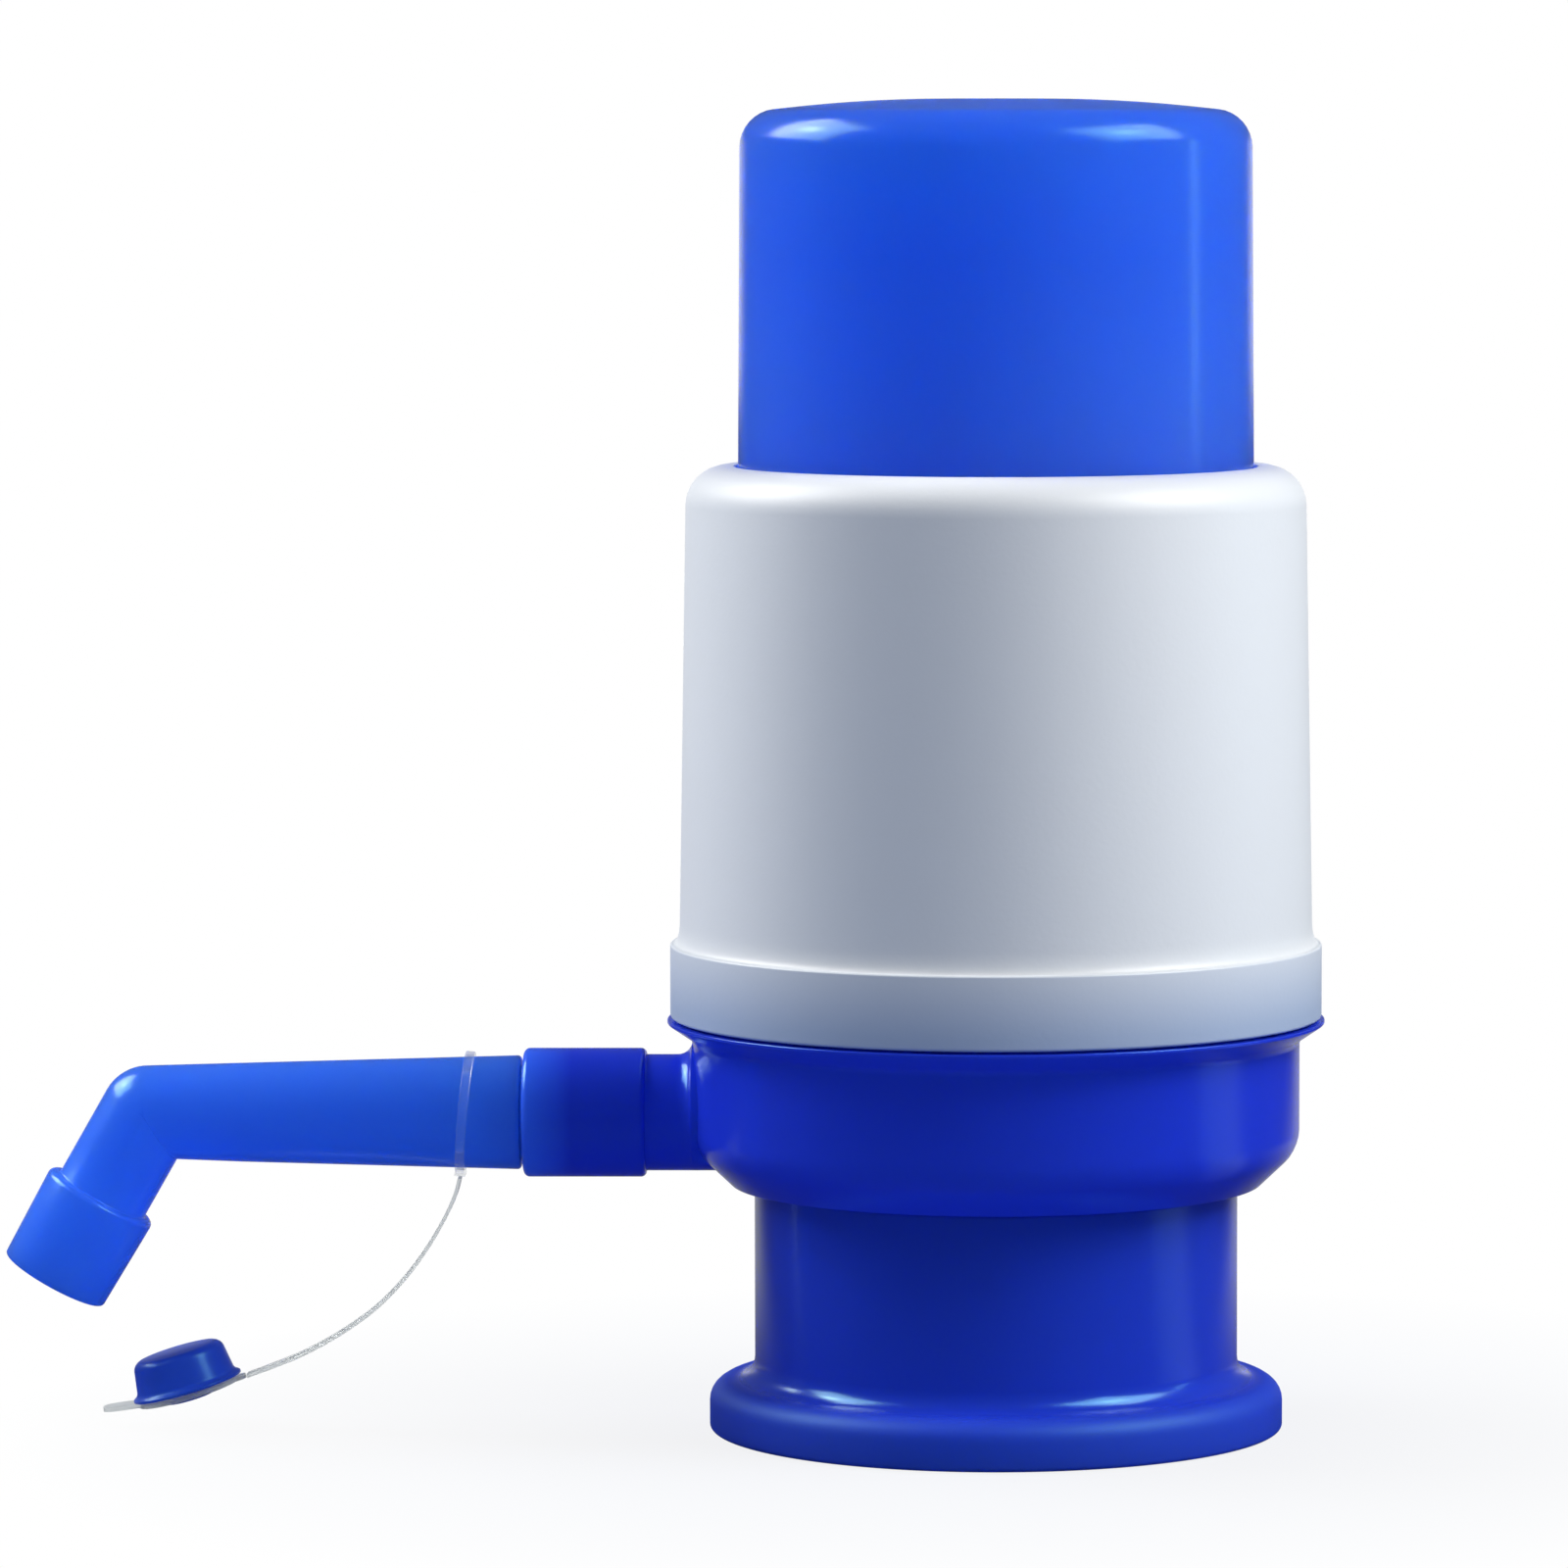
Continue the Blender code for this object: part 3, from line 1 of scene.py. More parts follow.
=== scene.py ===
# %% [markdown]
# # A hand pump for a large water bottle
# The pump is an assembly: a blue cap that is pressed, a white sleeve it slides in, a deep blue base
# with a spout arm, and a screw collar that clamps the whole thing on a bottle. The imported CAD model
# is loaded first. It gives the bodies that move and the exact place of every piece.

# %% Load the frame
from math import asin, atan2, cos, pi, radians, sin, tan

import bmesh
import bpy
from mathutils import Matrix, Vector


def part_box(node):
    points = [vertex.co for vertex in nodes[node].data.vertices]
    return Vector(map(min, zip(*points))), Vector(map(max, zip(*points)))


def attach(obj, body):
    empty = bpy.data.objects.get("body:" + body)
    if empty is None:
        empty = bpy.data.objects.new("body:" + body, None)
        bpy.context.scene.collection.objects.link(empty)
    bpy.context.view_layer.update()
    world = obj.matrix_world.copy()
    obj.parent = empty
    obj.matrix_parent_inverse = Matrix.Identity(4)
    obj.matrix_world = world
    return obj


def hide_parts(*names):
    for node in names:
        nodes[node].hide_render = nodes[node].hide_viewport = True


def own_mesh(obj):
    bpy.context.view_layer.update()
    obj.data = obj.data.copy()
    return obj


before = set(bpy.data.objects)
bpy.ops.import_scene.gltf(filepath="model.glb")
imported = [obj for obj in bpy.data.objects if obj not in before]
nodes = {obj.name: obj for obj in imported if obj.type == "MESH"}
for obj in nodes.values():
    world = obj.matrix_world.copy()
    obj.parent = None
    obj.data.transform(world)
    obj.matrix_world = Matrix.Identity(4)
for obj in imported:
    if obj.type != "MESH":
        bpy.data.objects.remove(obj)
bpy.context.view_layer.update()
scene = bpy.context.scene
sleeve_low, sleeve_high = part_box("sleeve")
PUMP_X = (sleeve_low.x + sleeve_high.x) / 2
print("CAD nodes:", len(nodes), "pump axis at x =", round(PUMP_X, 5))

# %% [markdown]
# ## Camera
# The photograph was taken from about a metre away, a little above the middle of the pump, so every
# round edge shows as a shallow ellipse. A long lens keeps the sides of the pump parallel. The pump
# stands right of the middle of the picture, and the lens is shifted sideways for that, because
# turning the camera would make the two sides look unequal.

# %% Camera
CAMERA_DISTANCE = 1.03
CAMERA_HEIGHT = 0.168
CAMERA_TILT_DEG = 4.737
SENSOR = 36
LENS = 186
LENS_SHIFT = -0.1352

camera_data = bpy.data.cameras.new("camera")
camera_data.sensor_width = SENSOR
camera_data.lens = LENS
camera_data.shift_x = LENS_SHIFT
camera_data.dof.use_dof = False
camera = bpy.data.objects.new("camera", camera_data)
camera.location = (PUMP_X, -CAMERA_DISTANCE, CAMERA_HEIGHT)
camera.rotation_euler = (radians(90 - CAMERA_TILT_DEG), 0, 0)
scene.collection.objects.link(camera)
scene.camera = camera
print("camera sees", round(CAMERA_DISTANCE * SENSOR / LENS * 1000), "mm at the pump")

# %% [markdown]
# ## Short functions for shader nodes
# Every finish is a small tree of nodes, and the same moves come back in each tree: feed a socket, do
# a sum, stretch a range, mix two colours, read a place. Each move gets a short function here, so the
# floor, the lights and the plastics below read as recipes and not as lists of sockets.

# %% Node functions: sums, ranges and mixes


def link(tree, source, target):
    """Joins an output to an input."""
    tree.links.new(source, target)


def feed(tree, socket, value):
    """Sets a socket to a number or a colour, or joins an output to it."""
    if isinstance(value, bpy.types.NodeSocket):
        link(tree, value, socket)
    else:
        socket.default_value = value


def math_node(tree, operation, first, second=0.0):
    """A Math node of two inputs, each a number or an output."""
    node = tree.nodes.new("ShaderNodeMath")
    node.operation = operation
    feed(tree, node.inputs[0], first)
    feed(tree, node.inputs[1], second)
    return node.outputs[0]


def map_range(tree, value, low, high, out_low, out_high):
    """Stretches a value from one range to another, and holds it there."""
    node = tree.nodes.new("ShaderNodeMapRange")
    labels = ("Value", "From Min", "From Max", "To Min", "To Max")
    for label, number in zip(labels, (value, low, high, out_low, out_high)):
        feed(tree, node.inputs[label], number)
    return node.outputs["Result"]


def mix_colours(tree, share, first, second, blend="MIX"):
    """Mixes the second colour into the first, each a colour or an output."""
    node = tree.nodes.new("ShaderNodeMix")
    node.data_type = "RGBA"
    node.blend_type = blend
    for label, value in (("Factor", share), ("A", first), ("B", second)):
        feed(tree, node.inputs[label], value)
    return node.outputs["Result"]


def mix_shaders(tree, share, first, second):
    """Mixes the second shader into the first."""
    node = tree.nodes.new("ShaderNodeMixShader")
    for socket, value in zip(node.inputs, (share, first, second)):
        link(tree, value, socket)
    return node.outputs[0]


print("moves: sum, range, mix of colours, mix of shaders")

# %% Node functions: places and looks


def place_along(tree, axis, kind="Object"):
    """The shaded point's place along X, Y or Z."""
    split = tree.nodes.new("ShaderNodeSeparateXYZ")
    link(tree, tree.nodes.new("ShaderNodeTexCoord").outputs[kind], split.inputs[0])
    return split.outputs[axis]


def from_axis(tree):
    """The shaded point's distance from the pump's upright axis."""
    level = tree.nodes.new("ShaderNodeVectorMath")
    level.operation = "MULTIPLY_ADD"
    link(tree, tree.nodes.new("ShaderNodeTexCoord").outputs["Object"], level.inputs[0])
    level.inputs[1].default_value = (1, 1, 0)
    level.inputs[2].default_value = (-PUMP_X, 0, 0)
    distance = tree.nodes.new("ShaderNodeVectorMath")
    distance.operation = "LENGTH"
    link(tree, level.outputs[0], distance.inputs[0])
    return distance.outputs["Value"]


def seen_by(tree, where_glossy):
    """1 for a straight or refracted look, the given value for a reflection, and 0 for other light."""
    rays = tree.nodes.new("ShaderNodeLightPath").outputs
    straight = math_node(tree, "MAXIMUM", rays["Is Camera Ray"], rays["Is Transmission Ray"])
    reflected = math_node(tree, "MULTIPLY", rays["Is Glossy Ray"], where_glossy)
    return math_node(tree, "MAXIMUM", straight, reflected)


print("reads: place along an axis, distance from the pump's axis, kind of look")

# %% [markdown]
# ## Floor
# The photograph has a plain white ground with no line between floor and wall. A floor that is white
# to the camera gives that. What the glossy plastic reflects is another matter: a white room all round
# would wash out the deep blue. So in reflections the floor is dark but for two bright parts. One is a
# sheet behind the pump, which the sides of the pump pick up at their very edges. The other is a
# narrow card that runs off to the right, and it draws the upright lines on the neck and the bowl.

# %% Floor: the sheet and the card that reflections see
SHEET_START = 0.03
SHEET_FULL = 0.16
SHEET_HALF_WIDTH = 0.10
SHEET_SPREAD = 0.14
SHEET_FADE = 0.07
SHEET_SHARE = 0.45
CARD_START = 0.05
CARD_SHARE = 0.55
CARD_TURN = -0.03
CARD_SPREAD = 0.12
CARD_EDGE = 0.24

floor_material = bpy.data.materials.new("white_floor")
floor_material.use_nodes = True
tree = floor_material.node_tree
tree.nodes.clear()
behind_pump = place_along(tree, "Y")
right_of_pump = math_node(tree, "SUBTRACT", place_along(tree, "X"), PUMP_X)

sheet_widens = math_node(tree, "MULTIPLY", behind_pump, SHEET_SPREAD)
beside = math_node(tree, "SUBTRACT", math_node(tree, "ABSOLUTE", right_of_pump), sheet_widens)
across = map_range(tree, beside, SHEET_HALF_WIDTH, SHEET_HALF_WIDTH + SHEET_FADE, 1, 0)
far_enough = map_range(tree, behind_pump, SHEET_START, SHEET_FULL, 0, 1)
sheet = math_node(tree, "MULTIPLY", math_node(tree, "MULTIPLY", far_enough, across), SHEET_SHARE)

card_middle = math_node(tree, "MULTIPLY", right_of_pump, CARD_TURN)
off_card = math_node(tree, "ABSOLUTE", math_node(tree, "SUBTRACT", behind_pump, card_middle))
card_side = math_node(tree, "DIVIDE", off_card, right_of_pump)
card_width = map_range(tree, card_side, CARD_SPREAD, CARD_EDGE, 1, 0)
card_start = map_range(tree, right_of_pump, CARD_START, 2 * CARD_START, 0, CARD_SHARE)
card = math_node(tree, "MULTIPLY", card_start, card_width)
bright_parts = math_node(tree, "MAXIMUM", sheet, card)
print("reflections see a sheet from", SHEET_START, "m and a card from", CARD_START, "m")

# %% [markdown]
# Near the foot of the collar the white keeps a breath of the pump's shadow. It is part of the floor's
# own brightness, because a floor that is white to the camera catches no shadow. The light that the
# floor throws back on the pump comes from a cool grey paint instead, and that gives the underside of
# the bowl its tone. From below the floor is clear, so the hollow foot can be looked into.

# %% Floor: shadow, paint and mesh
FLOOR_SIZE = 8
FLOOR_GAP = 0.0001
FLOOR_PAINT = (0.30, 0.355, 0.48)
ROOM_FLOOR = (0.03, 0.03, 0.03)
SHADOW_SHARE = 0.16
SHADOW_START = 0.03
SHADOW_REACH = 0.13
PLAIN_WHITE = (1, 1, 1, 1)

shadow = map_range(tree, from_axis(tree), SHADOW_START, SHADOW_REACH, SHADOW_SHARE, 0)
shown_white = math_node(tree, "MULTIPLY", seen_by(tree, bright_parts), math_node(tree, "SUBTRACT", 1, shadow))
in_reflection = tree.nodes.new("ShaderNodeLightPath").outputs["Is Glossy Ray"]
floor_colour = mix_colours(tree, in_reflection, (*FLOOR_PAINT, 1), (*ROOM_FLOOR, 1))
floor_paint = tree.nodes.new("ShaderNodeBsdfDiffuse")
link(tree, floor_colour, floor_paint.inputs["Color"])
floor_glow = tree.nodes.new("ShaderNodeEmission")
floor_glow.inputs["Color"].default_value = PLAIN_WHITE
from_above = mix_shaders(tree, shown_white, floor_paint.outputs[0], floor_glow.outputs[0])
clear = tree.nodes.new("ShaderNodeBsdfTransparent")
under_side = tree.nodes.new("ShaderNodeNewGeometry").outputs["Backfacing"]
floor_shader = mix_shaders(tree, under_side, from_above, clear.outputs[0])
link(tree, floor_shader, tree.nodes.new("ShaderNodeOutputMaterial").inputs["Surface"])

floor_shape = bmesh.new()
bmesh.ops.create_grid(floor_shape, x_segments=1, y_segments=1, size=FLOOR_SIZE / 2)
bmesh.ops.translate(floor_shape, vec=(0, 0, -FLOOR_GAP), verts=floor_shape.verts)
floor_mesh = bpy.data.meshes.new("floor")
floor_shape.to_mesh(floor_mesh)
floor_shape.free()
floor_mesh.materials.append(floor_material)
floor = bpy.data.objects.new("floor", floor_mesh)
scene.collection.objects.link(floor)
print("floor:", FLOOR_SIZE, "m wide, nodes in its material:", len(tree.nodes))

# %% [markdown]
# ## World
# The world is what lies beyond the floor. To the camera it is plain white, like the floor. As light it
# is a dim and faintly blue room, with one white wall low down behind the pump. The sides of a round
# piece reflect that wall at a shallow angle, which is why they brighten at the very edge.

# %% World
WALL_LIGHT = (0.97, 0.985, 1.0)
ROOM_LIGHT = (0.10, 0.12, 0.17)
WALL_FROM = 0.88
WALL_FULL = 0.98
WALL_TOP = 0.03
WALL_TOP_FADE = 0.05

world = bpy.data.worlds.new("studio")
world.use_nodes = True
scene.world = world
tree = world.node_tree
tree.nodes.clear()
far_side = map_range(tree, place_along(tree, "Y", "Generated"), WALL_FROM, WALL_FULL, 0, 1)
low_side = map_range(tree, place_along(tree, "Z", "Generated"), WALL_TOP, WALL_TOP + WALL_TOP_FADE, 1, 0)
wall = math_node(tree, "MULTIPLY", far_side, low_side)
studio_light = tree.nodes.new("ShaderNodeBackground")
studio_colour = mix_colours(tree, wall, (*ROOM_LIGHT, 1), (*WALL_LIGHT, 1))
link(tree, studio_colour, studio_light.inputs["Color"])
white_ground = tree.nodes.new("ShaderNodeBackground")
white_ground.inputs["Color"].default_value = PLAIN_WHITE
shown_white = seen_by(tree, math_node(tree, "MULTIPLY", wall, SHEET_SHARE))
surroundings = mix_shaders(tree, shown_white, studio_light.outputs[0], white_ground.outputs[0])
link(tree, surroundings, tree.nodes.new("ShaderNodeOutputWorld").inputs["Surface"])
scene.view_settings.view_transform = "Standard"
print("world nodes:", len(tree.nodes))

# %% [markdown]
# ## Lamps
# The highlights of the photograph tell where its lamps stood. The walls of the pump show no bright
# strip, but the rounded top of the cap has a soft spot on each side. So two large soft boxes stand
# high up, one on the right and a little towards the camera, one on the left and a little behind the
# pump. Each has a hotter middle, as a lamp behind cloth has, which makes its spot fade outwards. A
# thin tall strip low on the right draws the fine upright line on the cap.

# %% Lamps
LAMP_AIM_HEIGHT = 0.085
LAMPS = [
    # name, azimuth from the camera, elevation, distance, width, height, watts, colour
    ("soft_box_right", 73, 42, 0.85, 0.60, 0.50, 8.6, (1.0, 0.98, 0.93)),
    ("right_centre", 70, 43, 0.84, 0.16, 0.12, 0.9, (1.0, 0.98, 0.95)),
    ("soft_box_left", -106, 38, 0.85, 0.60, 0.50, 8.4, (1.0, 0.99, 0.96)),
    ("left_centre", -107, 39, 0.84, 0.16, 0.12, 0.9, (1.0, 0.99, 0.97)),
    ("thin_strip", 98, 11, 0.80, 0.018, 0.26, 0.22, (0.6, 0.9, 1.0)),
]

for name, azimuth, elevation, distance, width, height, watts, colour in LAMPS:
    lamp_data = bpy.data.lights.new(name, "AREA")
    lamp_data.shape = "RECTANGLE"
    lamp_data.size = width
    lamp_data.size_y = height
    lamp_data.energy = watts
    lamp_data.color = colour
    lamp = bpy.data.objects.new(name, lamp_data)
    turn, rise = radians(azimuth), radians(elevation)
    level = cos(rise) * distance
    away = Vector((sin(turn) * level, -cos(turn) * level, sin(rise) * distance))
    lamp.location = Vector((PUMP_X, 0, LAMP_AIM_HEIGHT)) + away
    lamp.rotation_euler = (-away).to_track_quat("-Z", "Y").to_euler()
    scene.collection.objects.link(lamp)
print("lamps:", ", ".join(lamp[0] for lamp in LAMPS))

# %% [markdown]
# ## Two effects that the plastics share
# Moulded plastic is never one flat colour or one even gloss. The pigment is a little cloudy, and the
# skin has faint flow marks, a fine grain, hair-thin rubbing marks and patches that are a little
# duller. These could be painted, but they have to run on over every side of a piece, so they are
# made of noise in space. Each effect is a node group with its own inputs, so that every material
# uses the same group with its own values.

# %% Group: uneven pigment


def new_group(name, inputs, outputs):
    """A shader node group with its sockets and its two end nodes."""
    group = bpy.data.node_groups.new(name, "ShaderNodeTree")
    for label, kind, default in inputs:
        socket = group.interface.new_socket(label, in_out="INPUT", socket_type=kind)
        if default is not None:
            socket.default_value = default
    for label, kind in outputs:
        group.interface.new_socket(label, in_out="OUTPUT", socket_type=kind)
    return group, group.nodes.new("NodeGroupInput").outputs, group.nodes.new("NodeGroupOutput").inputs


def noise(tree, vector, scale, detail, roughness=0.5):
    """A Noise texture's value, with each setting a number or an output."""
    node = tree.nodes.new("ShaderNodeTexNoise")
    settings = {"Vector": vector, "Scale": scale, "Detail": detail, "Roughness": roughness}
    for label, value in settings.items():
        feed(tree, node.inputs[label], value)
    return node.outputs["Fac"]


pigment, given, result = new_group(
    "uneven_pigment",
    [
        ("Vector", "NodeSocketVector", None),
        ("Colour", "NodeSocketColor", (0.5, 0.5, 0.5, 1)),
        ("Deep Colour", "NodeSocketColor", (0.3, 0.3, 0.3, 1)),
        ("Cloud Scale", "NodeSocketFloat", 22),
        ("Cloud Share", "NodeSocketFloat", 0.3),
    ],
    [("Colour", "NodeSocketColor")],
)
clouds = noise(pigment, given["Vector"], given["Cloud Scale"], 3)
cloud_share = map_range(pigment, clouds, 0.2, 0.8, 0, given["Cloud Share"])
link(pigment, mix_colours(pigment, cloud_share, given["Colour"], given["Deep Colour"]), result["Colour"])
print("group:", pigment.name, "with", len(pigment.nodes), "nodes")

# %% Group: moulded skin
SMEAR_SCALE = 38
RUB_SCALE = 1500
RUB_STRETCH = (1, 1, 0.04)
RUB_LEAN = (0.05, 0.03, 0)
RUB_LEAST = 0.60
RUB_MOST = 0.80
RUB_ROUGHNESS = 0.05
RUB_DEPTH = 0.004
FLOW_SCALE = 26

skin, given, result = new_group(
    "moulded_skin",
    [
        ("Vector", "NodeSocketVector", None),
        ("Gloss", "NodeSocketFloat", 0.2),
        ("Dull Spots", "NodeSocketFloat", 0.04),
        ("Grain Scale", "NodeSocketFloat", 900),
        ("Grain Depth", "NodeSocketFloat", 0.2),
        ("Flow Depth", "NodeSocketFloat", 0.5),
        ("Rub Share", "NodeSocketFloat", 0.3),
    ],
    [("Roughness", "NodeSocketFloat"), ("Height", "NodeSocketFloat")],
)
stretch = skin.nodes.new("ShaderNodeMapping")
stretch.inputs["Scale"].default_value = RUB_STRETCH
stretch.inputs["Rotation"].default_value = RUB_LEAN
link(skin, given["Vector"], stretch.inputs["Vector"])
rub_lines = map_range(skin, noise(skin, stretch.outputs["Vector"], RUB_SCALE, 2), RUB_LEAST, RUB_MOST, 0, 1)
rubbed = math_node(skin, "MULTIPLY", rub_lines, given["Rub Share"])

smears = noise(skin, given["Vector"], SMEAR_SCALE, 2, 0.4)
rough = math_node(skin, "ADD", given["Gloss"], map_range(skin, smears, 0.2, 0.8, 0, given["Dull Spots"]))
rough = math_node(skin, "ADD", rough, math_node(skin, "MULTIPLY", rubbed, RUB_ROUGHNESS))
link(skin, rough, result["Roughness"])

grain = noise(skin, given["Vector"], given["Grain Scale"], 2)
flow = noise(skin, given["Vector"], FLOW_SCALE, 2)
relief = math_node(
    skin, "ADD",
    math_node(skin, "MULTIPLY", grain, given["Grain Depth"]),
    math_node(skin, "MULTIPLY", flow, given["Flow Depth"]),
)
relief = math_node(skin, "SUBTRACT", relief, math_node(skin, "MULTIPLY", rubbed, RUB_DEPTH))
link(skin, relief, result["Height"])
print("group:", skin.name, "with", len(skin.nodes), "nodes")

# %% [markdown]
# ## The plastics
# Every piece is injection moulded, but the finishes differ. The cap and the spout are a bright blue
# that lets light into the wall, the base and the collar are a deeper, denser blue, and the sleeve is
# a cool white with a satin skin. The collar's blue is a little darker than the base's, as painted
# shade for the top light that the overhanging bowl keeps off its foot. Each material is one
# Principled shader that the two groups feed.
# What is the same all over a piece, such as how far light wanders inside it, is set on the shader's
# own sockets. The reflections on the blue pieces are pale blue and not white, so their sheen has a
# cool tint.

# %% A function for a moulded plastic
RELIEF_HEIGHT = 0.0004


def group_in(tree, group, values):
    """Places a group in a material's tree under the group's own name, and feeds its inputs."""
    node = tree.nodes.new("ShaderNodeGroup")
    node.node_tree = group
    node.name = group.name
    for label, value in values.items():
        feed(tree, node.inputs[label], value)
    return node.outputs


def plastic(name, colour, deep, gloss, cloud=(22, 0.35), grain=(900, 0.1), flow=0.5, bump=0.1, **sockets):
    """A moulded plastic: pigment and skin groups into one Principled shader."""
    material = bpy.data.materials.new(name)
    material.use_nodes = True
    tree = material.node_tree
    shader = tree.nodes["Principled BSDF"]
    place = tree.nodes.new("ShaderNodeTexCoord").outputs["Object"]
    colours = group_in(tree, pigment, {
        "Vector": place, "Colour": (*colour, 1), "Deep Colour": (*deep, 1),
        "Cloud Scale": cloud[0], "Cloud Share": cloud[1],
    })
    surface = group_in(tree, skin, {
        "Vector": place, "Gloss": gloss, "Grain Scale": grain[0], "Grain Depth": grain[1], "Flow Depth": flow,
    })
    bumps = tree.nodes.new("ShaderNodeBump")
    bumps.inputs["Strength"].default_value = bump
    bumps.inputs["Distance"].default_value = RELIEF_HEIGHT
    link(tree, surface["Height"], bumps.inputs["Height"])
    link(tree, colours["Colour"], shader.inputs["Base Color"])
    link(tree, surface["Roughness"], shader.inputs["Roughness"])
    link(tree, bumps.outputs["Normal"], shader.inputs["Normal"])
    shader.subsurface_method = "BURLEY"
    for label, value in sockets.items():
        shader.inputs[label.replace("_", " ")].default_value = value
    return material


print("a plastic has a colour, a deep colour and a gloss")

# %% The blue plastics and the white one
COOL_SHEEN = (0.30, 0.88, 1.0, 1)
DENSE_BLUE = {
    "Subsurface_Weight": 0.3,
    "Subsurface_Radius": (0.002, 0.006, 0.02),
    "Subsurface_Scale": 1.0,
    "Specular_Tint": COOL_SHEEN,
}

cap_blue = plastic(
    "bright_blue_cap", (0.023, 0.097, 0.82), (0.021, 0.089, 0.77), 0.18, flow=0.6, bump=0.12,
    Subsurface_Weight=0.8, Subsurface_Radius=(0.01, 0.05, 0.25), Subsurface_Scale=1.0,
    Specular_Tint=COOL_SHEEN, Specular_IOR_Level=0.3,
)
spout_blue = plastic(
    "bright_blue_spout", (0.032, 0.137, 0.82), (0.029, 0.126, 0.78), 0.22,
    Subsurface_Weight=0.7, Subsurface_Radius=(0.005, 0.015, 0.05), Subsurface_Scale=1.0,
    Specular_Tint=COOL_SHEEN,
)
base_blue = plastic(
    "deep_blue_base", (0.0115, 0.034, 0.60), (0.0105, 0.031, 0.56), 0.17, flow=0.6, bump=0.12, **DENSE_BLUE
)
# Painted shade: the collar is a darker copy of the base's blue, for the top light that the bowl's overhang
# keeps off the foot.
shaded_collar_blue = plastic(
    "deep_blue_collar_painted_shade", (0.0115, 0.036, 0.50), (0.0105, 0.032, 0.47), 0.17, flow=0.6, bump=0.12, **DENSE_BLUE
)
plug_blue = plastic("blue_plug", (0.020, 0.070, 0.62), (0.018, 0.062, 0.58), 0.28, **DENSE_BLUE)
sleeve_white = plastic(
    "satin_white_sleeve", (0.69, 0.715, 0.74), (0.66, 0.69, 0.72), 0.42,
    cloud=(14, 0.4), grain=(1400, 0.3), flow=0.3, bump=0.12,
)
print("materials:", len(bpy.data.materials))

# %% [markdown]
# ## Where a wall is thin: painted light and shade
# Plastic is lighter where its wall is thin, and a dark part behind a thin white wall shows through
# it. Three places get that light and shade painted into their colour. The band of the sleeve gets a
# painted shade, a blue-grey that stands for the blue base behind it and for the weaker fill light
# that reaches it. The foot of the cap gets a painted glow, for the light that the white sleeve throws
# into it, and the mouth of the arm a painted glow for the light of the bright spout inside it. To
# trace the light through the walls would take very long, so a second colour is mixed in along one
# axis of the piece instead.

# %% Painted shade on the band, painted glow on the cap foot and the arm mouth
BAND_SHADE_TOP = 0.0665
BAND_SHADE_FULL = 0.0545
BAND_SHADE_TINT = (0.50, 0.60, 0.79)
BAND_TOP = 0.0626
BAND_TOP_FADE = 0.0005
CAP_FOOT_GLOW_LOW = 0.122
CAP_FOOT_GLOW_HIGH = 0.150
CAP_FOOT_GLOW_BLUE = (0.034, 0.125, 0.90)
MOUTH_X = -0.0615
MOUTH_END_X = -0.0540
MOUTH_GLOW_BLUE = (0.035, 0.14, 1.0)


def low_end(material, axis, low, high):
    """1 below one place along an axis of the object, 0 above another, and a fade between them."""
    tree = material.node_tree
    return map_range(tree, place_along(tree, axis), low, high, 1, 0)


def tint(material, share, colour, blend="MIX"):
    """Mixes a second colour into a plastic, by a share from 0 to 1."""
    tree = material.node_tree
    plain = tree.nodes[pigment.name].outputs["Colour"]
    mixed = mix_colours(tree, share, plain, (*colour, 1), blend)
    link(tree, mixed, tree.nodes["Principled BSDF"].inputs["Base Color"])


# Painted shade: the band is multiplied by a blue-grey that stands for the blue base behind it and the weaker
# fill light on it.
band_shade_share = math_node(
    sleeve_white.node_tree, "MULTIPLY",
    low_end(sleeve_white, "Z", BAND_TOP - BAND_TOP_FADE, BAND_TOP),
    low_end(sleeve_white, "Z", BAND_SHADE_FULL, BAND_SHADE_TOP),
)
tint(sleeve_white, band_shade_share, BAND_SHADE_TINT, "MULTIPLY")
# Painted glow: the foot of the cap is lighter blue, for the light that the white sleeve throws into it.
tint(cap_blue, low_end(cap_blue, "Z", CAP_FOOT_GLOW_LOW, CAP_FOOT_GLOW_HIGH), CAP_FOOT_GLOW_BLUE)
# Painted glow: the mouth of the arm is lighter blue, for the light of the bright spout inside it.
tint(base_blue, low_end(base_blue, "X", PUMP_X + MOUTH_X, PUMP_X + MOUTH_END_X), MOUTH_GLOW_BLUE)
print("the band's tint fades out between", BAND_SHADE_FULL * 1000, "and", BAND_SHADE_TOP * 1000, "mm")

# %% [markdown]
# ## The worn edge of the foot
# The pump is stood on its collar, so the outer edge of the foot has lost its gloss. It shows in the
# photograph as a foot that mirrors less than the wall above it. The roughness rises with the
# distance from the pump's axis, which finds the edge all the way round.

# %% Worn edge of the collar
WORN_FROM = 0.0325
WORN_FULL = 0.0345
WORN_ROUGHNESS = 0.36

tree = shaded_collar_blue.node_tree
worn = map_range(tree, from_axis(tree), WORN_FROM, WORN_FULL, 0, WORN_ROUGHNESS)
rough = math_node(tree, "ADD", tree.nodes[skin.name].outputs["Roughness"], worn)
link(tree, rough, tree.nodes["Principled BSDF"].inputs["Roughness"])
print("the foot is dull from a radius of", WORN_FULL * 1000, "mm")

# %% [markdown]
# ## The soft, clear and inner plastics
# The tether is a clear, rubbery plastic, and light goes straight through it. Its ring is as thin as
# a film, so part of it is also left out by its alpha. The bellows is a milky plastic that glows a
# little, and the seals and valves are grey rubber, which is rough and has a coarser grain.

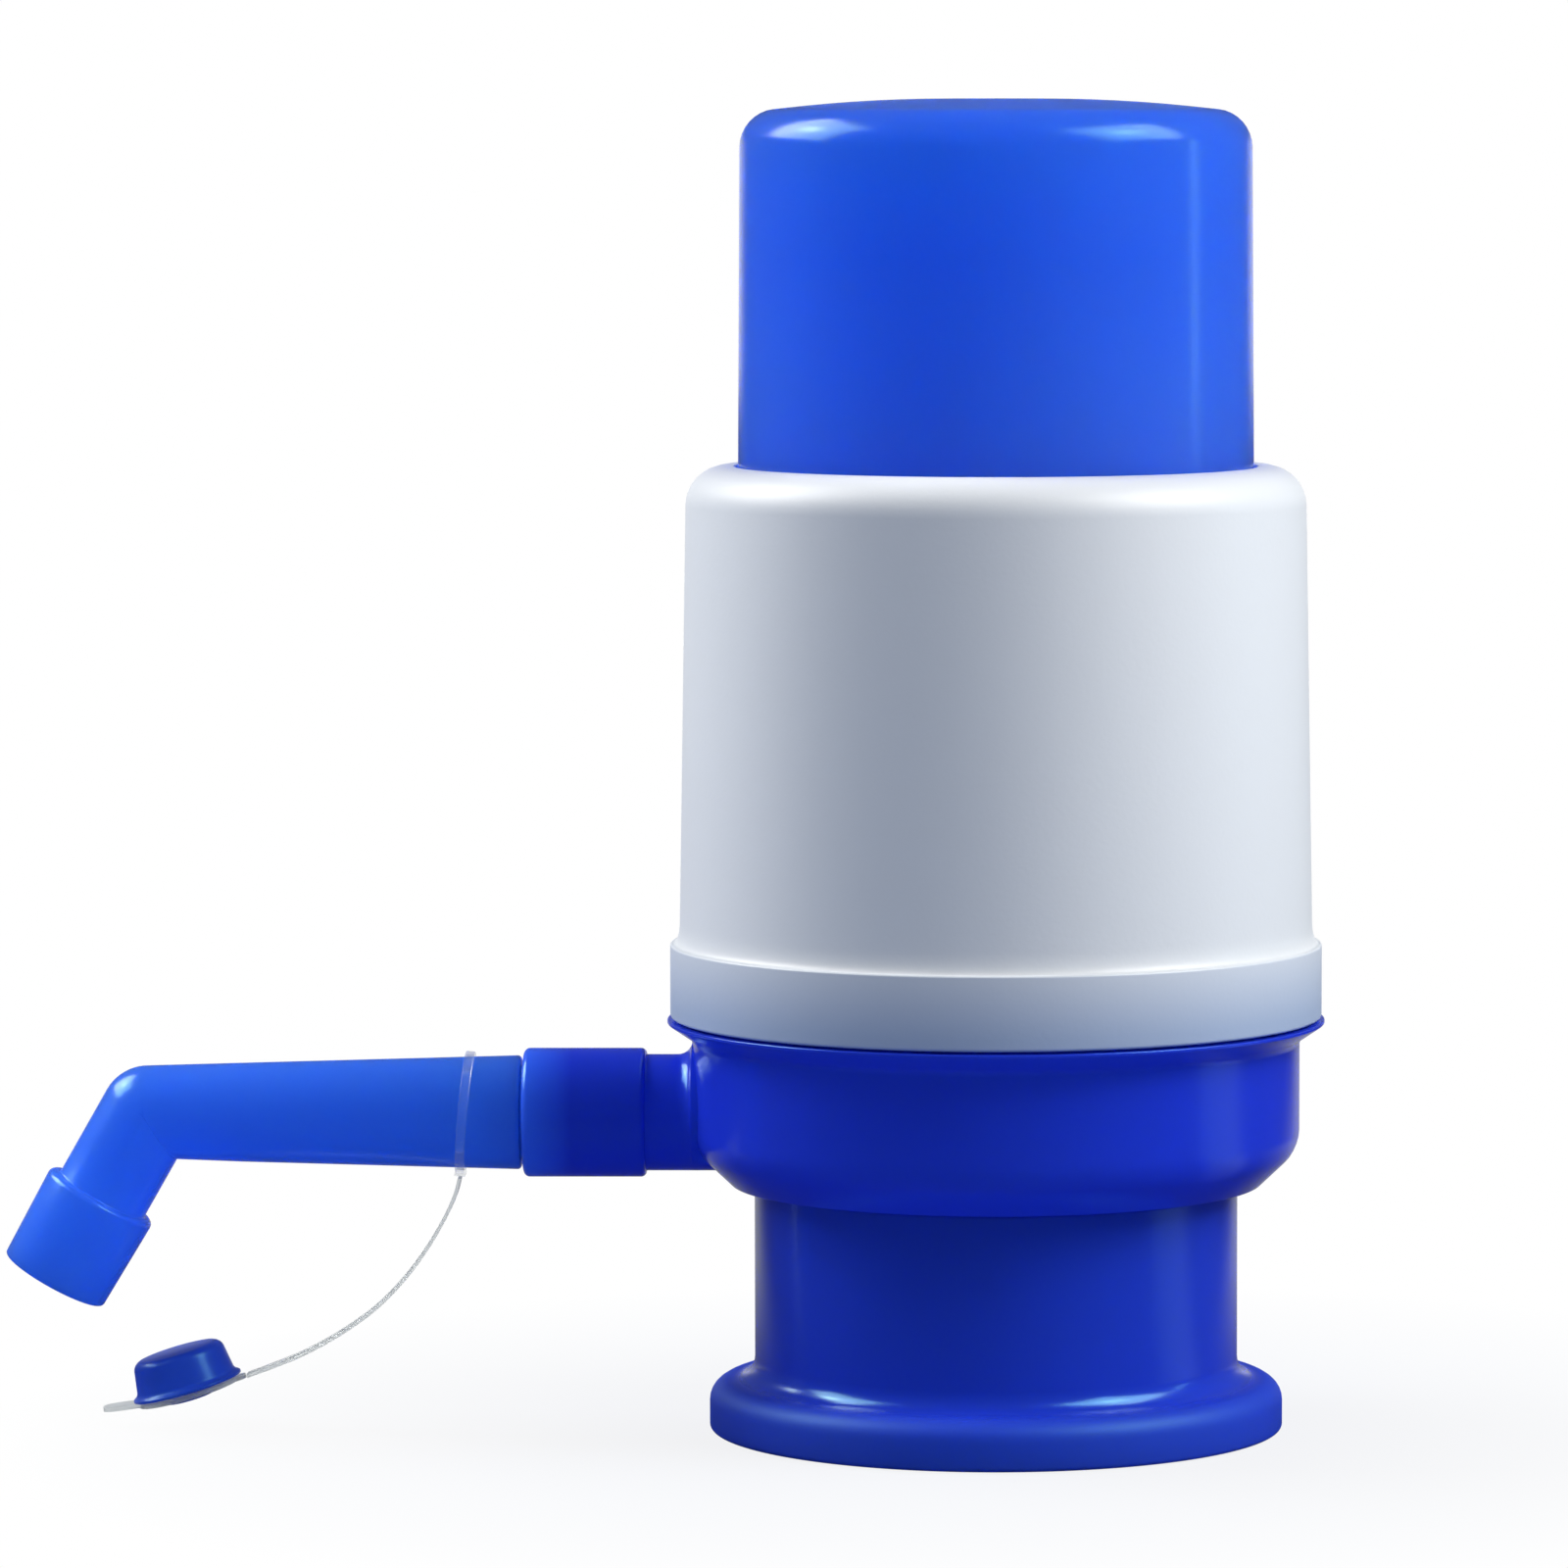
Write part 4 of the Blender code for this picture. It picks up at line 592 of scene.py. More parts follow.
# %% Materials of the soft and inner pieces
inner_white = plastic(
    "plain_white_inside", (0.70, 0.71, 0.70), (0.62, 0.63, 0.62), 0.42, grain=(1100, 0.3), bump=0.15
)
milky = plastic(
    "milky_bellows", (0.72, 0.74, 0.72), (0.62, 0.65, 0.63), 0.45, cloud=(60, 0.5), bump=0.15,
    Subsurface_Weight=0.4, Subsurface_Radius=(0.006, 0.006, 0.006), Subsurface_Scale=1.0,
)
rubber = plastic(
    "grey_rubber", (0.12, 0.125, 0.13), (0.08, 0.085, 0.09), 0.62,
    cloud=(120, 0.6), grain=(2200, 0.6), bump=0.3,
)
clear_ring = plastic(
    "clear_soft_ring", (0.86, 0.92, 0.96), (0.82, 0.88, 0.93), 0.22, cloud=(90, 0.4), flow=0.2, bump=0.05,
    Transmission_Weight=0.95, IOR=1.40, Alpha=0.35,
)
clear_strap = plastic(
    "clear_soft_strap", (0.80, 0.83, 0.825), (0.76, 0.79, 0.785), 0.35, cloud=(90, 0.4), flow=0.2, bump=0.05,
    Transmission_Weight=0.80, IOR=1.40,
)
print("materials:", len(bpy.data.materials))

# %% [markdown]
# ## Turned pieces
# Cap, sleeve, bowl and collar are round, so each is drawn once as a half section and spun about the
# pump's axis. The section is a list of corners, and each corner has its radius, its height and its
# rounding in millimetres. Vertex bevels round the corners before the spin: that gives the true
# radius of each edge, and the edge is what catches the light.

# %% Functions for turned pieces
MM = 0.001
MERGE = 0.000002
FINE_STEPS = 160
SMALL_STEPS = 72
ROUND_SEGMENTS = 5


def round_off(shape, geom, offset, segments, affect, clamp=False):
    """Bevels corners or edges with a round profile."""
    bmesh.ops.bevel(
        shape, geom=geom, offset=offset, offset_type="OFFSET", segments=segments, profile=0.5,
        affect=affect, material=-1, clamp_overlap=clamp,
    )


def close_up(shape):
    """Merges doubled points, and turns all faces outwards."""
    bmesh.ops.remove_doubles(shape, verts=shape.verts, dist=MERGE)
    bmesh.ops.recalc_face_normals(shape, faces=shape.faces)


def half_section(points, closed, segments=ROUND_SEGMENTS):
    """A wire in the XZ plane from (radius, height, rounding) corners in millimetres."""
    shape = bmesh.new()
    corners = [shape.verts.new((radius * MM, 0, height * MM)) for radius, height, _ in points]
    for first, second in zip(corners, corners[1:]):
        shape.edges.new((first, second))
    if closed:
        shape.edges.new((corners[-1], corners[0]))
    for corner, (_, _, rounding) in zip(corners, points):
        if not rounding:
            continue
        before, after = [edge.other_vert(corner).co - corner.co for edge in corner.link_edges]
        half_angle = before.angle(after) / 2
        round_off(shape, [corner], rounding * MM / tan(half_angle), segments, "VERTICES")
    return shape


def spun(points, closed=False, steps=FINE_STEPS, segments=ROUND_SEGMENTS):
    """The half section turned once about Z, with its poles and seam merged."""
    shape = half_section(points, closed, segments)
    bmesh.ops.spin(
        shape, geom=shape.verts[:] + shape.edges[:], cent=(0, 0, 0), axis=(0, 0, 1), dvec=(0, 0, 0),
        angle=2 * pi, steps=steps, use_merge=True,
    )
    close_up(shape)
    return shape


print("a round piece has", FINE_STEPS, "sides, a small one", SMALL_STEPS)

# %% [markdown]
# A shape becomes a piece when its place is worked into its mesh and its object is left at the origin.
# The piece then takes the place of a CAD node, rides on that node's body, and is measured against it.

# %% Functions that finish a piece
SHARP_DEG = 34
ON_PUMP_AXIS = Matrix.Translation((PUMP_X, 0, 0))


def smooth_but_edges(mesh):
    """Shades a mesh smooth, and keeps its real edges sharp."""
    mesh.shade_smooth()
    mesh.set_sharp_from_angle(angle=radians(SHARP_DEG))


def finish_piece(shape, name, material, matrix=ON_PUMP_AXIS):
    """Puts a shape in its place as a new object."""
    bmesh.ops.transform(shape, matrix=matrix, verts=shape.verts)
    mesh = bpy.data.meshes.new(name)
    shape.to_mesh(mesh)
    shape.free()
    smooth_but_edges(mesh)
    mesh.materials.clear()
    mesh.materials.append(material)
    piece = bpy.data.objects.new(name, mesh)
    scene.collection.objects.link(piece)
    return piece


def stands_for(piece, node, body):
    """The piece takes the CAD node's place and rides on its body."""
    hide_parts(node)
    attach(piece, body)
    low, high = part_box(node)
    off = 0
    for i in range(3):
        along = [vertex.co[i] for vertex in piece.data.vertices]
        off = max(off, abs(min(along) - low[i]), abs(max(along) - high[i]))
    print(f"{piece.name}: {len(piece.data.polygons)} faces, {off * 1000:.2f} mm from the box of {node}")


print("edges that turn by more than", SHARP_DEG, "degrees stay sharp")

# %% [markdown]
# ## The press cap
# A tall cap with a faint dome, so that water does not stand on it. Its upper edge is a full 4.8 mm
# round. Below the mouth of the sleeve it has a stop flange that keeps it in, and inside it a rib that
# pushes on the head of the bellows. A cylinder with a bevel would give the outside only, so the whole
# wall is drawn as one section: up the outside, over the dome and down the inside.

# %% Press cap
CAP_TOP = 169.8
CAP_RADIUS = 32.5
CAP_ROUND = 4.8
CAP_WALL = 1.6
CROWN_FLAT = 6
CROWN_DROP = 1.35
CROWN_EDGE = 28.2


def crown(top, radii):
    """Corners along the dome, at the given radii."""
    beyond = [max(radius - CROWN_FLAT, 0) / (CROWN_EDGE - CROWN_FLAT) for radius in radii]
    return [(radius, top - CROWN_DROP * part ** 2, 0) for radius, part in zip(radii, beyond)]


cap_points = [
    *crown(CAP_TOP, (0, 6, 9, 12, 15, 18, 21, 24, 26.5)),
    (CAP_RADIUS, 168.0, CAP_ROUND),
    (32.8, 123.3, 0),
    (32.8, 120.4, 0.3),
    (37.3, 120.4, 0.3),
    (37.3, 118.2, 0.5),
    (32.8, 118.2, 0.3),
    (32.8, 110.0, 0.4),
    (31.2, 110.0, 0.4),
    (30.95, 166.35, 3.2),
    *crown(CAP_TOP - CAP_WALL, (26, 23)),
    (20.0, 167.65, 0),
    (20.0, 164.3, 0.2),
    (18.4, 164.3, 0.2),
    (18.4, 167.8, 0),
    *crown(CAP_TOP - CAP_WALL, (14, 6, 0)),
]
cap_piece = finish_piece(spun(cap_points, segments=8), "cap_shell", cap_blue)
stands_for(cap_piece, "press_cap", "cap")

# %% [markdown]
# ## The sleeve
# A white tube that hides the bellows and guides the cap. Its shoulder turns inwards to a lip, its
# wall widens a little downwards so that it leaves the mould, and a thicker band at the foot holds
# the catches that grip the base. Above the band the wall runs out in a hollow curve to a fine edge,
# which draws the thin bright line round the sleeve. The curve is a quarter of an ellipse, in steps
# of ten degrees.

# %% Sleeve
WALL_FOOT = (40.35, 65.4)
CURVE_OUT = 0.85
CURVE_DOWN = 3.0
CURVE_STEP = pi / 18

hollow_curve = [
    (
        WALL_FOOT[0] + CURVE_OUT - CURVE_OUT * cos(i * CURVE_STEP),
        WALL_FOOT[1] - CURVE_DOWN * sin(i * CURVE_STEP),
        0,
    )
    for i in range(1, 9)
]
sleeve_points = [
    (33.1, 123.3, 0.4),
    (39.4, 123.3, 5.0),
    (*WALL_FOOT, 0),
    *hollow_curve,
    (41.2, 62.4, 0),
    (41.6, 62.4, 0.3),
    (41.6, 53.0, 0.4),
    (40.0, 53.0, 0.2),
    (40.0, 60.8, 0.3),
    (36.1, 60.8, 0.2),
    (36.1, 62.8, 0.2),
    (38.55, 65.1, 0.5),
    (37.6, 120.7, 0.8),
    (33.1, 120.7, 0.4),
]
sleeve_piece = finish_piece(spun(sleeve_points, closed=True, segments=8), "sleeve_shell", sleeve_white)
stands_for(sleeve_piece, "sleeve", "base")

# %% [markdown]
# ## The clamp collar
# A screw collar with a wide foot. A soft fillet leads from the wall to the foot, and its curve
# catches the two high lamps. The foot is hollow underneath, as moulded plastic is, and the mouth has
# an inner lip that lifts the grip ring.

# %% Clamp collar
collar_points = [
    (29.9, 31.3, 0.2),
    (30.9, 31.3, 0.35),
    (30.9, 6.25, 3.0),
    (36.7, 6.25, 2.6),
    (36.7, 0, 0.6),
    (35.0, 0, 0.3),
    (35.0, 4.25, 0.6),
    (31.2, 4.25, 0.6),
    (31.2, 0, 0.3),
    (28.1, 0, 0.4),
    (28.1, 2.2, 0.1),
    (28.7, 2.2, 0.1),
    (29.9, 12.5, 0.3),
]
collar_piece = finish_piece(spun(collar_points, closed=True, segments=7), "collar_shell", shaded_collar_blue)
stands_for(collar_piece, "clamp_collar", "collar")

# %% [markdown]
# ## The base
# The largest moulding: a neck that goes down over the bottle, a bowl with a sloping underside, a
# thin rim under the sleeve, and the arm that carries the spout. The bowl is spun about the pump's
# axis and the arm about its own, and Booleans join them and cut the water way, because the arm
# breaks through the wall of the bowl in a curve that no single spin can follow.

# %% Base: bowl, neck and rim
BOWL_RADIUS = 38.8

bowl_points = [
    (0, 33.8, 0),
    (33.31, 33.8, 0.5),
    (36.8, 37.11, 3.0),
    (36.8, 47.9, 0.3),
    (35.6, 49.1, 0.2),
    (35.6, 49.9, 0.2),
    (37.9, 49.9, 0.1),
    (37.9, 60.5, 0.3),
    (39.7, 60.5, 0.3),
    (39.7, 52.7, 0.1),
    (42.0, 52.7, 0.15),
    (42.0, 52.3, 0.15),
    (BOWL_RADIUS, 50.16, 1.2),
    (BOWL_RADIUS, 36.25, 5.0),
    (33.9, 31.6, 0.4),
    (29.0, 31.6, 0.15),
    (29.0, 12.8, 0.3),
    (27.8, 12.8, 0.3),
    (27.8, 31.6, 0.2),
    (0, 31.6, 0),
]
base_piece = finish_piece(spun(bowl_points), "base_shell", base_blue)
print("bowl:", len(base_piece.data.polygons), "faces before the arm")

# %% [markdown]
# The arm starts inside the bowl as a boss and ends in a wider socket. A fillet leads from the bowl to
# the boss. It is full on the upper side and runs out towards the lower one, so after the spin each of
# its points is pulled in by half of its reach past the boss and lifted by the other half.

# %% Base: the arm
SPOUT_Z = 40.5
ALONG_SPOUT = Matrix.Translation((0, 0, SPOUT_Z * MM)) @ Matrix.Rotation(radians(-90), 4, "Y")
BOSS_RADIUS = 7.45
SOCKET_RADIUS = 8.25
SOCKET_START = 44.7
FILLET = 1.9
FILLET_LIMIT = 44.6

arm_points = [
    (0, 60.4, 0),
    (SOCKET_RADIUS, 60.4, 0.8),
    (SOCKET_RADIUS, SOCKET_START, 0.7),
    (BOSS_RADIUS, SOCKET_START, 0.3),
    (BOSS_RADIUS, BOWL_RADIUS, FILLET),
    (BOSS_RADIUS + FILLET, BOWL_RADIUS, 0),
    (BOSS_RADIUS + FILLET, BOWL_RADIUS - FILLET / 2, 0),
    (BOSS_RADIUS, BOWL_RADIUS - FILLET, 0),
    (BOSS_RADIUS, 4.2, 0),
    (0, 4.2, 0),
]
arm = spun(arm_points, steps=SMALL_STEPS, segments=8)
for vertex in arm.verts:
    reach = vertex.co.xy.length
    lift = (reach - BOSS_RADIUS * MM) / 2
    if vertex.co.z < FILLET_LIMIT * MM and lift > 0:
        vertex.co.xy *= (BOSS_RADIUS * MM + lift) / reach
        vertex.co.x += lift
arm_piece = finish_piece(arm, "tool", base_blue, ON_PUMP_AXIS @ ALONG_SPOUT)
print("arm:", len(arm_piece.data.polygons), "faces")

# %% Base: the water way and the air holes
UPRIGHT = Matrix.Identity(4)
AIR_HOLES = 6
AIR_CIRCLE = 15.0
AIR_HOLE_STEPS = 32

post_points = [(0, 47.9, 0), (7.4, 47.9, 0.3), (7.4, 22.0, 0.3), (0, 22.0, 0)]
rise_points = [(0, 44.7, 0), (4.2, 44.7, 0), (4.2, 28.0, 0), (0, 28.0, 0)]
seat_points = [(0, 30.0, 0), (5.3, 30.0, 0), (5.3, 20.0, 0), (0, 20.0, 0)]
channel_points = [(0, 51.0, 0), (4.0, 51.0, 0), (4.0, 2.1, 0), (0, 2.1, 0)]
socket_points = [(0, 62.4, 0), (6.3, 62.4, 0), (6.3, 49.0, 0), (0, 49.0, 0)]
hole_points = [(0, 36, 0), (2, 36, 0), (2, 29, 0), (0, 29, 0)]


def tool(points, matrix, steps=SMALL_STEPS):
    """A turned shape that only joins or cuts another one."""
    return finish_piece(spun(points, steps=steps), "tool", base_blue, ON_PUMP_AXIS @ matrix)


def join_or_cut(piece, other, operation, solver="EXACT"):
    """Applies one Boolean to a piece's mesh and removes the tool."""
    step = piece.modifiers.new(operation, "BOOLEAN")
    step.operation = operation
    step.solver = solver
    step.object = other
    graph = bpy.context.evaluated_depsgraph_get()
    mesh = bpy.data.meshes.new_from_object(piece.evaluated_get(graph))
    piece.modifiers.clear()
    old = piece.data
    piece.data = mesh
    mesh.name = piece.name
    bpy.data.meshes.remove(old)
    bpy.data.objects.remove(other)


def open_edges(piece):
    """How many edges of a piece do not join exactly two faces."""
    shape = bmesh.new()
    shape.from_mesh(piece.data)
    count = sum(1 for edge in shape.edges if len(edge.link_faces) != 2)
    shape.free()
    return count


join_or_cut(base_piece, tool(post_points, UPRIGHT), "UNION", "MANIFOLD")
join_or_cut(base_piece, arm_piece, "UNION", "MANIFOLD")
for points, matrix in (
    (rise_points, UPRIGHT),
    (seat_points, UPRIGHT),
    (channel_points, ALONG_SPOUT),
    (socket_points, ALONG_SPOUT),
):
    join_or_cut(base_piece, tool(points, matrix), "DIFFERENCE", "MANIFOLD")
for i in range(AIR_HOLES):
    angle = 2 * pi * (i + 0.5) / AIR_HOLES
    offset = Matrix.Translation((AIR_CIRCLE * MM * cos(angle), AIR_CIRCLE * MM * sin(angle), 0))
    join_or_cut(base_piece, tool(hole_points, offset, AIR_HOLE_STEPS), "DIFFERENCE", "MANIFOLD")
smooth_but_edges(base_piece.data)
print("open edges of the base:", open_edges(base_piece))
stands_for(base_piece, "base_body", "base")

# %% [markdown]
# ## The spout
# One moulding: a plain spigot inside the socket, a tapered tube, an elbow and a nozzle that is wider
# than its leg. A ring of points is extruded from station to station, and at each one it is scaled,
# turned and moved. Round the elbow the outer half of the ring turns about the elbow's centre, which
# makes a round heel, and the inner half is moved to the mitre, which makes the crisp inner corner.

# %% A tube that is extruded along a bend
SPOUT_ROOT_X = -60.7
ELBOW_X = -108.45
ELBOW_DEG = 60.3
RING_POINTS = 64


class Tube:
    """A ring that is extruded along a bent centre line."""

    def __init__(self, start, radius):
        self.shape = bmesh.new()
        made = bmesh.ops.create_circle(self.shape, cap_ends=False, segments=RING_POINTS, radius=1)
        self.ring = made["verts"]
        self.first_edges = list(self.shape.edges)
        self.edges = list(self.shape.edges)
        self.matrix = Matrix.Identity(4)
        self.move(start, radius, 0)

    def frame(self, distance, radius, turn):
        """Where the ring stands: distance past the elbow if positive, and turned that far down."""
        centre = Vector((ELBOW_X * MM, 0, SPOUT_Z * MM))
        heading = Vector((-cos(turn), 0, -sin(turn)))
        across = Matrix.Rotation(-turn - pi / 2, 4, "Y")
        return Matrix.Translation(centre + heading * distance * MM) @ across @ Matrix.Scale(radius * MM, 4)

    def move(self, distance, radius, turn):
        """Moves, turns and scales the ring to a station."""
        matrix = self.frame(distance, radius, turn)
        bmesh.ops.transform(self.shape, matrix=matrix @ self.matrix.inverted(), verts=self.ring)
        self.matrix = matrix

    def extrude(self, distance, radius, turn=0.0):
        """A new ring at a station, joined to the last one."""
        made = bmesh.ops.extrude_edge_only(self.shape, edges=self.edges)
        self.edges = [item for item in made["geom"] if isinstance(item, bmesh.types.BMEdge)]
        self.ring = [item for item in made["geom"] if isinstance(item, bmesh.types.BMVert)]
        ends = set(self.ring)
        self.edges = [edge for edge in self.edges if edge.verts[0] in ends and edge.verts[1] in ends]
        self.make_round()
        self.move(distance, radius, turn)
        return self.edges

    def make_round(self):
        """Takes the mitre out of the ring's own copy of its points before it goes on."""
        inward = self.matrix.inverted()
        for vertex in self.ring:
            flat = inward @ vertex.co
            reach = max(1 - flat.y ** 2, 0) ** 0.5
            vertex.co = self.matrix @ Vector((reach if flat.x > 0 else -reach, flat.y, 0))

    def mitre(self, bend):
        """Moves the inner half of an elbow ring to the plane where tube and leg meet."""
        centre = Vector((ELBOW_X * MM, 0, SPOUT_Z * MM))
        outward = Vector((-sin(bend / 2), 0, cos(bend / 2)))
        side = self.matrix.col[0].xyz.normalized()
        for vertex in self.ring:
            height = (vertex.co - centre).dot(side)
            if height < 0:
                flat = centre + outward * height / cos(bend / 2)
                vertex.co.x, vertex.co.z = flat.x, flat.z


print("the elbow turns the tube down by", ELBOW_DEG, "degrees")

# %% [markdown]
# The stations run out along the outside, over the lip of the nozzle and back along the bore. Each has
# its distance, its radius and its rounding. The last ring is bridged to the first one, which closes
# the wall. The rims are rounded only then, because a bevel makes new edges in place of the old ones.

# %% Spout
SPIGOT_END = -11.1
SPIGOT_BORE = 4.6
ELBOW_STEPS = 10
ELBOW_RADIUS = 6.0
ELBOW_GROWTH = 0.1
ELBOW_BORE = 4.3
BORE_GROWTH = 0.3
TAPER_END = (-12, 6.33)
SPIGOT_STATIONS = [
    (SPIGOT_END + 0.6, 6.0, 0.2),
    (-7.7, 6.0, 0.1),
    (-7.7, 5.28, 0.1),
    (-6.3, 5.28, 0.1),
    (-6.3, 6.0, 0.1),
    (0, 6.0, 0.1),
    (0, 7.3, 0.5),
]
LEG_STATIONS = [
    (7, 6.1, 0),
    (12.2, 6.1, 0.25),
    (12.2, 7.45, 0.8),
    (24.8, 7.1, 0.4),
    (24.8, 6.1, 0.15),
    (17.2, 6.1, 0.2),
    (16.3, 4.6, 0.2),
    (7, 4.6, 0),
]


def from_elbow(distance):
    """A distance from the spout's root, as one from its elbow."""
    return distance - (SPOUT_ROOT_X - ELBOW_X)


bend = radians(ELBOW_DEG)
tube = Tube(from_elbow(SPIGOT_END), 5.4)
rims = [
    (tube.extrude(from_elbow(distance), radius), rounding) for distance, radius, rounding in SPIGOT_STATIONS
]
tube.extrude(*TAPER_END)
for i in range(ELBOW_STEPS + 1):
    tube.extrude(0, ELBOW_RADIUS + ELBOW_GROWTH * i / ELBOW_STEPS, bend * i / ELBOW_STEPS)
    tube.mitre(bend)
rims += [(tube.extrude(distance, radius, bend), rounding) for distance, radius, rounding in LEG_STATIONS]
for i in range(ELBOW_STEPS, -1, -1):
    tube.extrude(0, ELBOW_BORE + BORE_GROWTH * i / ELBOW_STEPS, bend * i / ELBOW_STEPS)
    tube.mitre(bend)
tube.extrude(TAPER_END[0], SPIGOT_BORE)
last_edges = tube.extrude(from_elbow(SPIGOT_END), SPIGOT_BORE)
bmesh.ops.bridge_loops(tube.shape, edges=tube.first_edges + last_edges)
for edges, rounding in rims:
    if rounding:
        live = [edge for edge in edges if edge.is_valid]
        round_off(tube.shape, live, rounding * MM, 4, "EDGES", clamp=True)
close_up(tube.shape)
spout_piece = finish_piece(tube.shape, "spout_shell", spout_blue)
print("open edges of the spout:", open_edges(spout_piece))
stands_for(spout_piece, "spout", "spout")

# %% [markdown]
# ## The tether
# The dust plug hangs from a soft clear strap: a loose ring round the spout, a thin flat strap in a
# long curve, and a flat ring with a pull tab that the plug is snapped through. The ring is turned
# and stands a little out of square on the spout, as a loose ring does. A small block on its outside,
# with rounded edges, is where the strap starts.

# %% Tether ring
TETHER_X = -67.9
TETHER_LEAN_DEG = 5.0
RING_INNER = 7.437
RING_OUTER = 7.837
BLOCK_SIZE = (0.5, 3.0, 1.4)
BLOCK_REACH = 7.887
BLOCK_ROUND = 0.1

ring_points = [
    (RING_INNER, 0.6, 0.12),
    (RING_OUTER, 0.6, 0.15),
    (RING_OUTER, -0.6, 0.15),
    (RING_INNER, -0.6, 0.12),
]
ring_place = (
    ON_PUMP_AXIS @ Matrix.Translation((TETHER_X * MM, 0, SPOUT_Z * MM))
    @ Matrix.Rotation(radians(-90 + TETHER_LEAN_DEG), 4, "Y")
)
ring_piece = finish_piece(spun(ring_points, True, SMALL_STEPS, 3), "tether_loop", clear_ring, ring_place)
block = bmesh.new()
bmesh.ops.create_cube(block, size=1)
bmesh.ops.scale(block, vec=Vector(BLOCK_SIZE) * MM, verts=block.verts)
round_off(block, block.edges[:], BLOCK_ROUND * MM, 2, "EDGES")
bmesh.ops.translate(block, vec=(-BLOCK_REACH * MM, 0, 0), verts=block.verts)
join_or_cut(ring_piece, finish_piece(block, "tool", clear_ring, ring_place), "UNION")
smooth_but_edges(ring_piece.data)
stands_for(ring_piece, "tether_ring", "tether")

# %% [markdown]
# ## The strap
# The strap is a cord of known length, so it follows the same route as its solid in the CAD model: a
# smooth curve through points that were measured in the photograph. A curve object with a bevel could
# make it too. Here a flat rounded section is extruded from point to point, because its end faces
# then close it and its length can be added up from the same points.

# %% Route of the strap
PLUG_X = -103.6
PLUG_Z = 4.4
PLUG_TILT_DEG = -16.0
ROOT_REACH = RING_OUTER + 0.6
NECK_REACH = 7.9
ROUTE_STEPS = 4

lean = radians(TETHER_LEAN_DEG)
tilt = radians(PLUG_TILT_DEG)
route = [
    (TETHER_X - ROOT_REACH * sin(lean), SPOUT_Z - ROOT_REACH * cos(lean)),
    (-69.2, 30.0),
    (-70.5, 27.1),
    (-72.7, 23.3),
    (-75.7, 19.2),
    (-79.5, 15.3),
    (-84.1, 12.0),
    (-88.6, 9.5),
    (-92.7, 7.8),
    (PLUG_X + NECK_REACH * cos(tilt), PLUG_Z - NECK_REACH * sin(tilt)),
]


def between(before, here, there, after, t):
    """A coordinate of the smooth curve, at a part t of the way from one point to the next."""
    return (
        here
        + (there - before) * t / 2
        + (2 * before - 5 * here + 4 * there - after) * t * t / 2
        + (3 * here - before - 3 * there + after) * t ** 3 / 2
    )


def smooth_route(points, per_stretch):
    """Points read from a smooth curve through the route's own points."""
    ends = [points[0]] + points + [points[-1]]
    found = []
    for four in zip(ends, ends[1:], ends[2:], ends[3:]):
        for i in range(per_stretch):
            found.append([between(*(point[k] for point in four), i / per_stretch) for k in range(2)])
    return found + [points[-1]]


path = [Vector((PUMP_X + x * MM, 0, z * MM)) for x, z in smooth_route(route, ROUTE_STEPS)]
strap_length = sum((there - here).length for here, there in zip(path, path[1:]))
print("route of", len(path), "points,", round(strap_length * 1000, 1), "mm long")

# %% Tether strap
STRAP_WIDTH = 3.0
STRAP_THICKNESS = 0.45
STRAP_ROUND = 0.1


def strap_frame(i):
    """Place and heading of the strap's section at a point of the path."""
    ahead = path[min(i + 1, len(path) - 1)] - path[max(i - 1, 0)]
    heading = ahead.normalized()
    turn = atan2(heading.x, heading.z)
    return Matrix.Translation(path[i]) @ Matrix.Rotation(turn, 4, "Y")


strap = bmesh.new()
bmesh.ops.create_grid(strap, x_segments=1, y_segments=1, size=0.5)
bmesh.ops.scale(strap, vec=(STRAP_THICKNESS * MM, STRAP_WIDTH * MM, 1), verts=strap.verts)
round_off(strap, strap.verts[:], STRAP_ROUND * MM, 2, "VERTICES")
end_face = strap.faces[:][0]
bmesh.ops.transform(strap, matrix=strap_frame(0), verts=strap.verts)
for i in range(1, len(path)):
    made = bmesh.ops.extrude_face_region(strap, geom=[end_face])
    new_verts = [item for item in made["geom"] if isinstance(item, bmesh.types.BMVert)]
    new_face = [item for item in made["geom"] if isinstance(item, bmesh.types.BMFace)][0]
    if i > 1:
        bmesh.ops.delete(strap, geom=[end_face], context="FACES_ONLY")
    bmesh.ops.transform(strap, matrix=strap_frame(i) @ strap_frame(i - 1).inverted(), verts=new_verts)
    end_face = new_face
bmesh.ops.recalc_face_normals(strap, faces=strap.faces)
strap_piece = finish_piece(strap, "tether_line", clear_strap, Matrix.Identity(4))
print("strap:", round(strap_length * 1000, 1), "mm long, open edges:", open_edges(strap_piece))
stands_for(strap_piece, "tether_strap", "tether")

# %% [markdown]
# ## The end ring and the plug
# The end ring is a flat turned ring. The pull tab and the neck that the strap runs into are flat
# tongues with rounded ends, joined to it by Booleans, and the tab is bent up a little so that a
# finger gets under it. The plug is a small turned cup with a flared foot, and its waist sits in the
# hole of the ring.

# %% End ring with its tab and neck
TAB_LENGTH = 6.25
TAB_WIDTH = 4.4
TAB_LIFT_DEG = 8.0
NECK_LENGTH = 2.65
TONGUE_START = 4.95
TONGUE_THICKNESS = 0.5
TONGUE_ROUND = 0.4

plug_place = ON_PUMP_AXIS @ Matrix.Translation((PLUG_X * MM, 0, PLUG_Z * MM)) @ Matrix.Rotation(tilt, 4, "Y")
end_points = [(3.3, 0.25, 0.1), (6.6, 0.25, 0.12), (6.6, -0.25, 0.12), (3.3, -0.25, 0.1)]
end_piece = finish_piece(spun(end_points, True, SMALL_STEPS, 2), "tether_eye", clear_strap, plug_place)


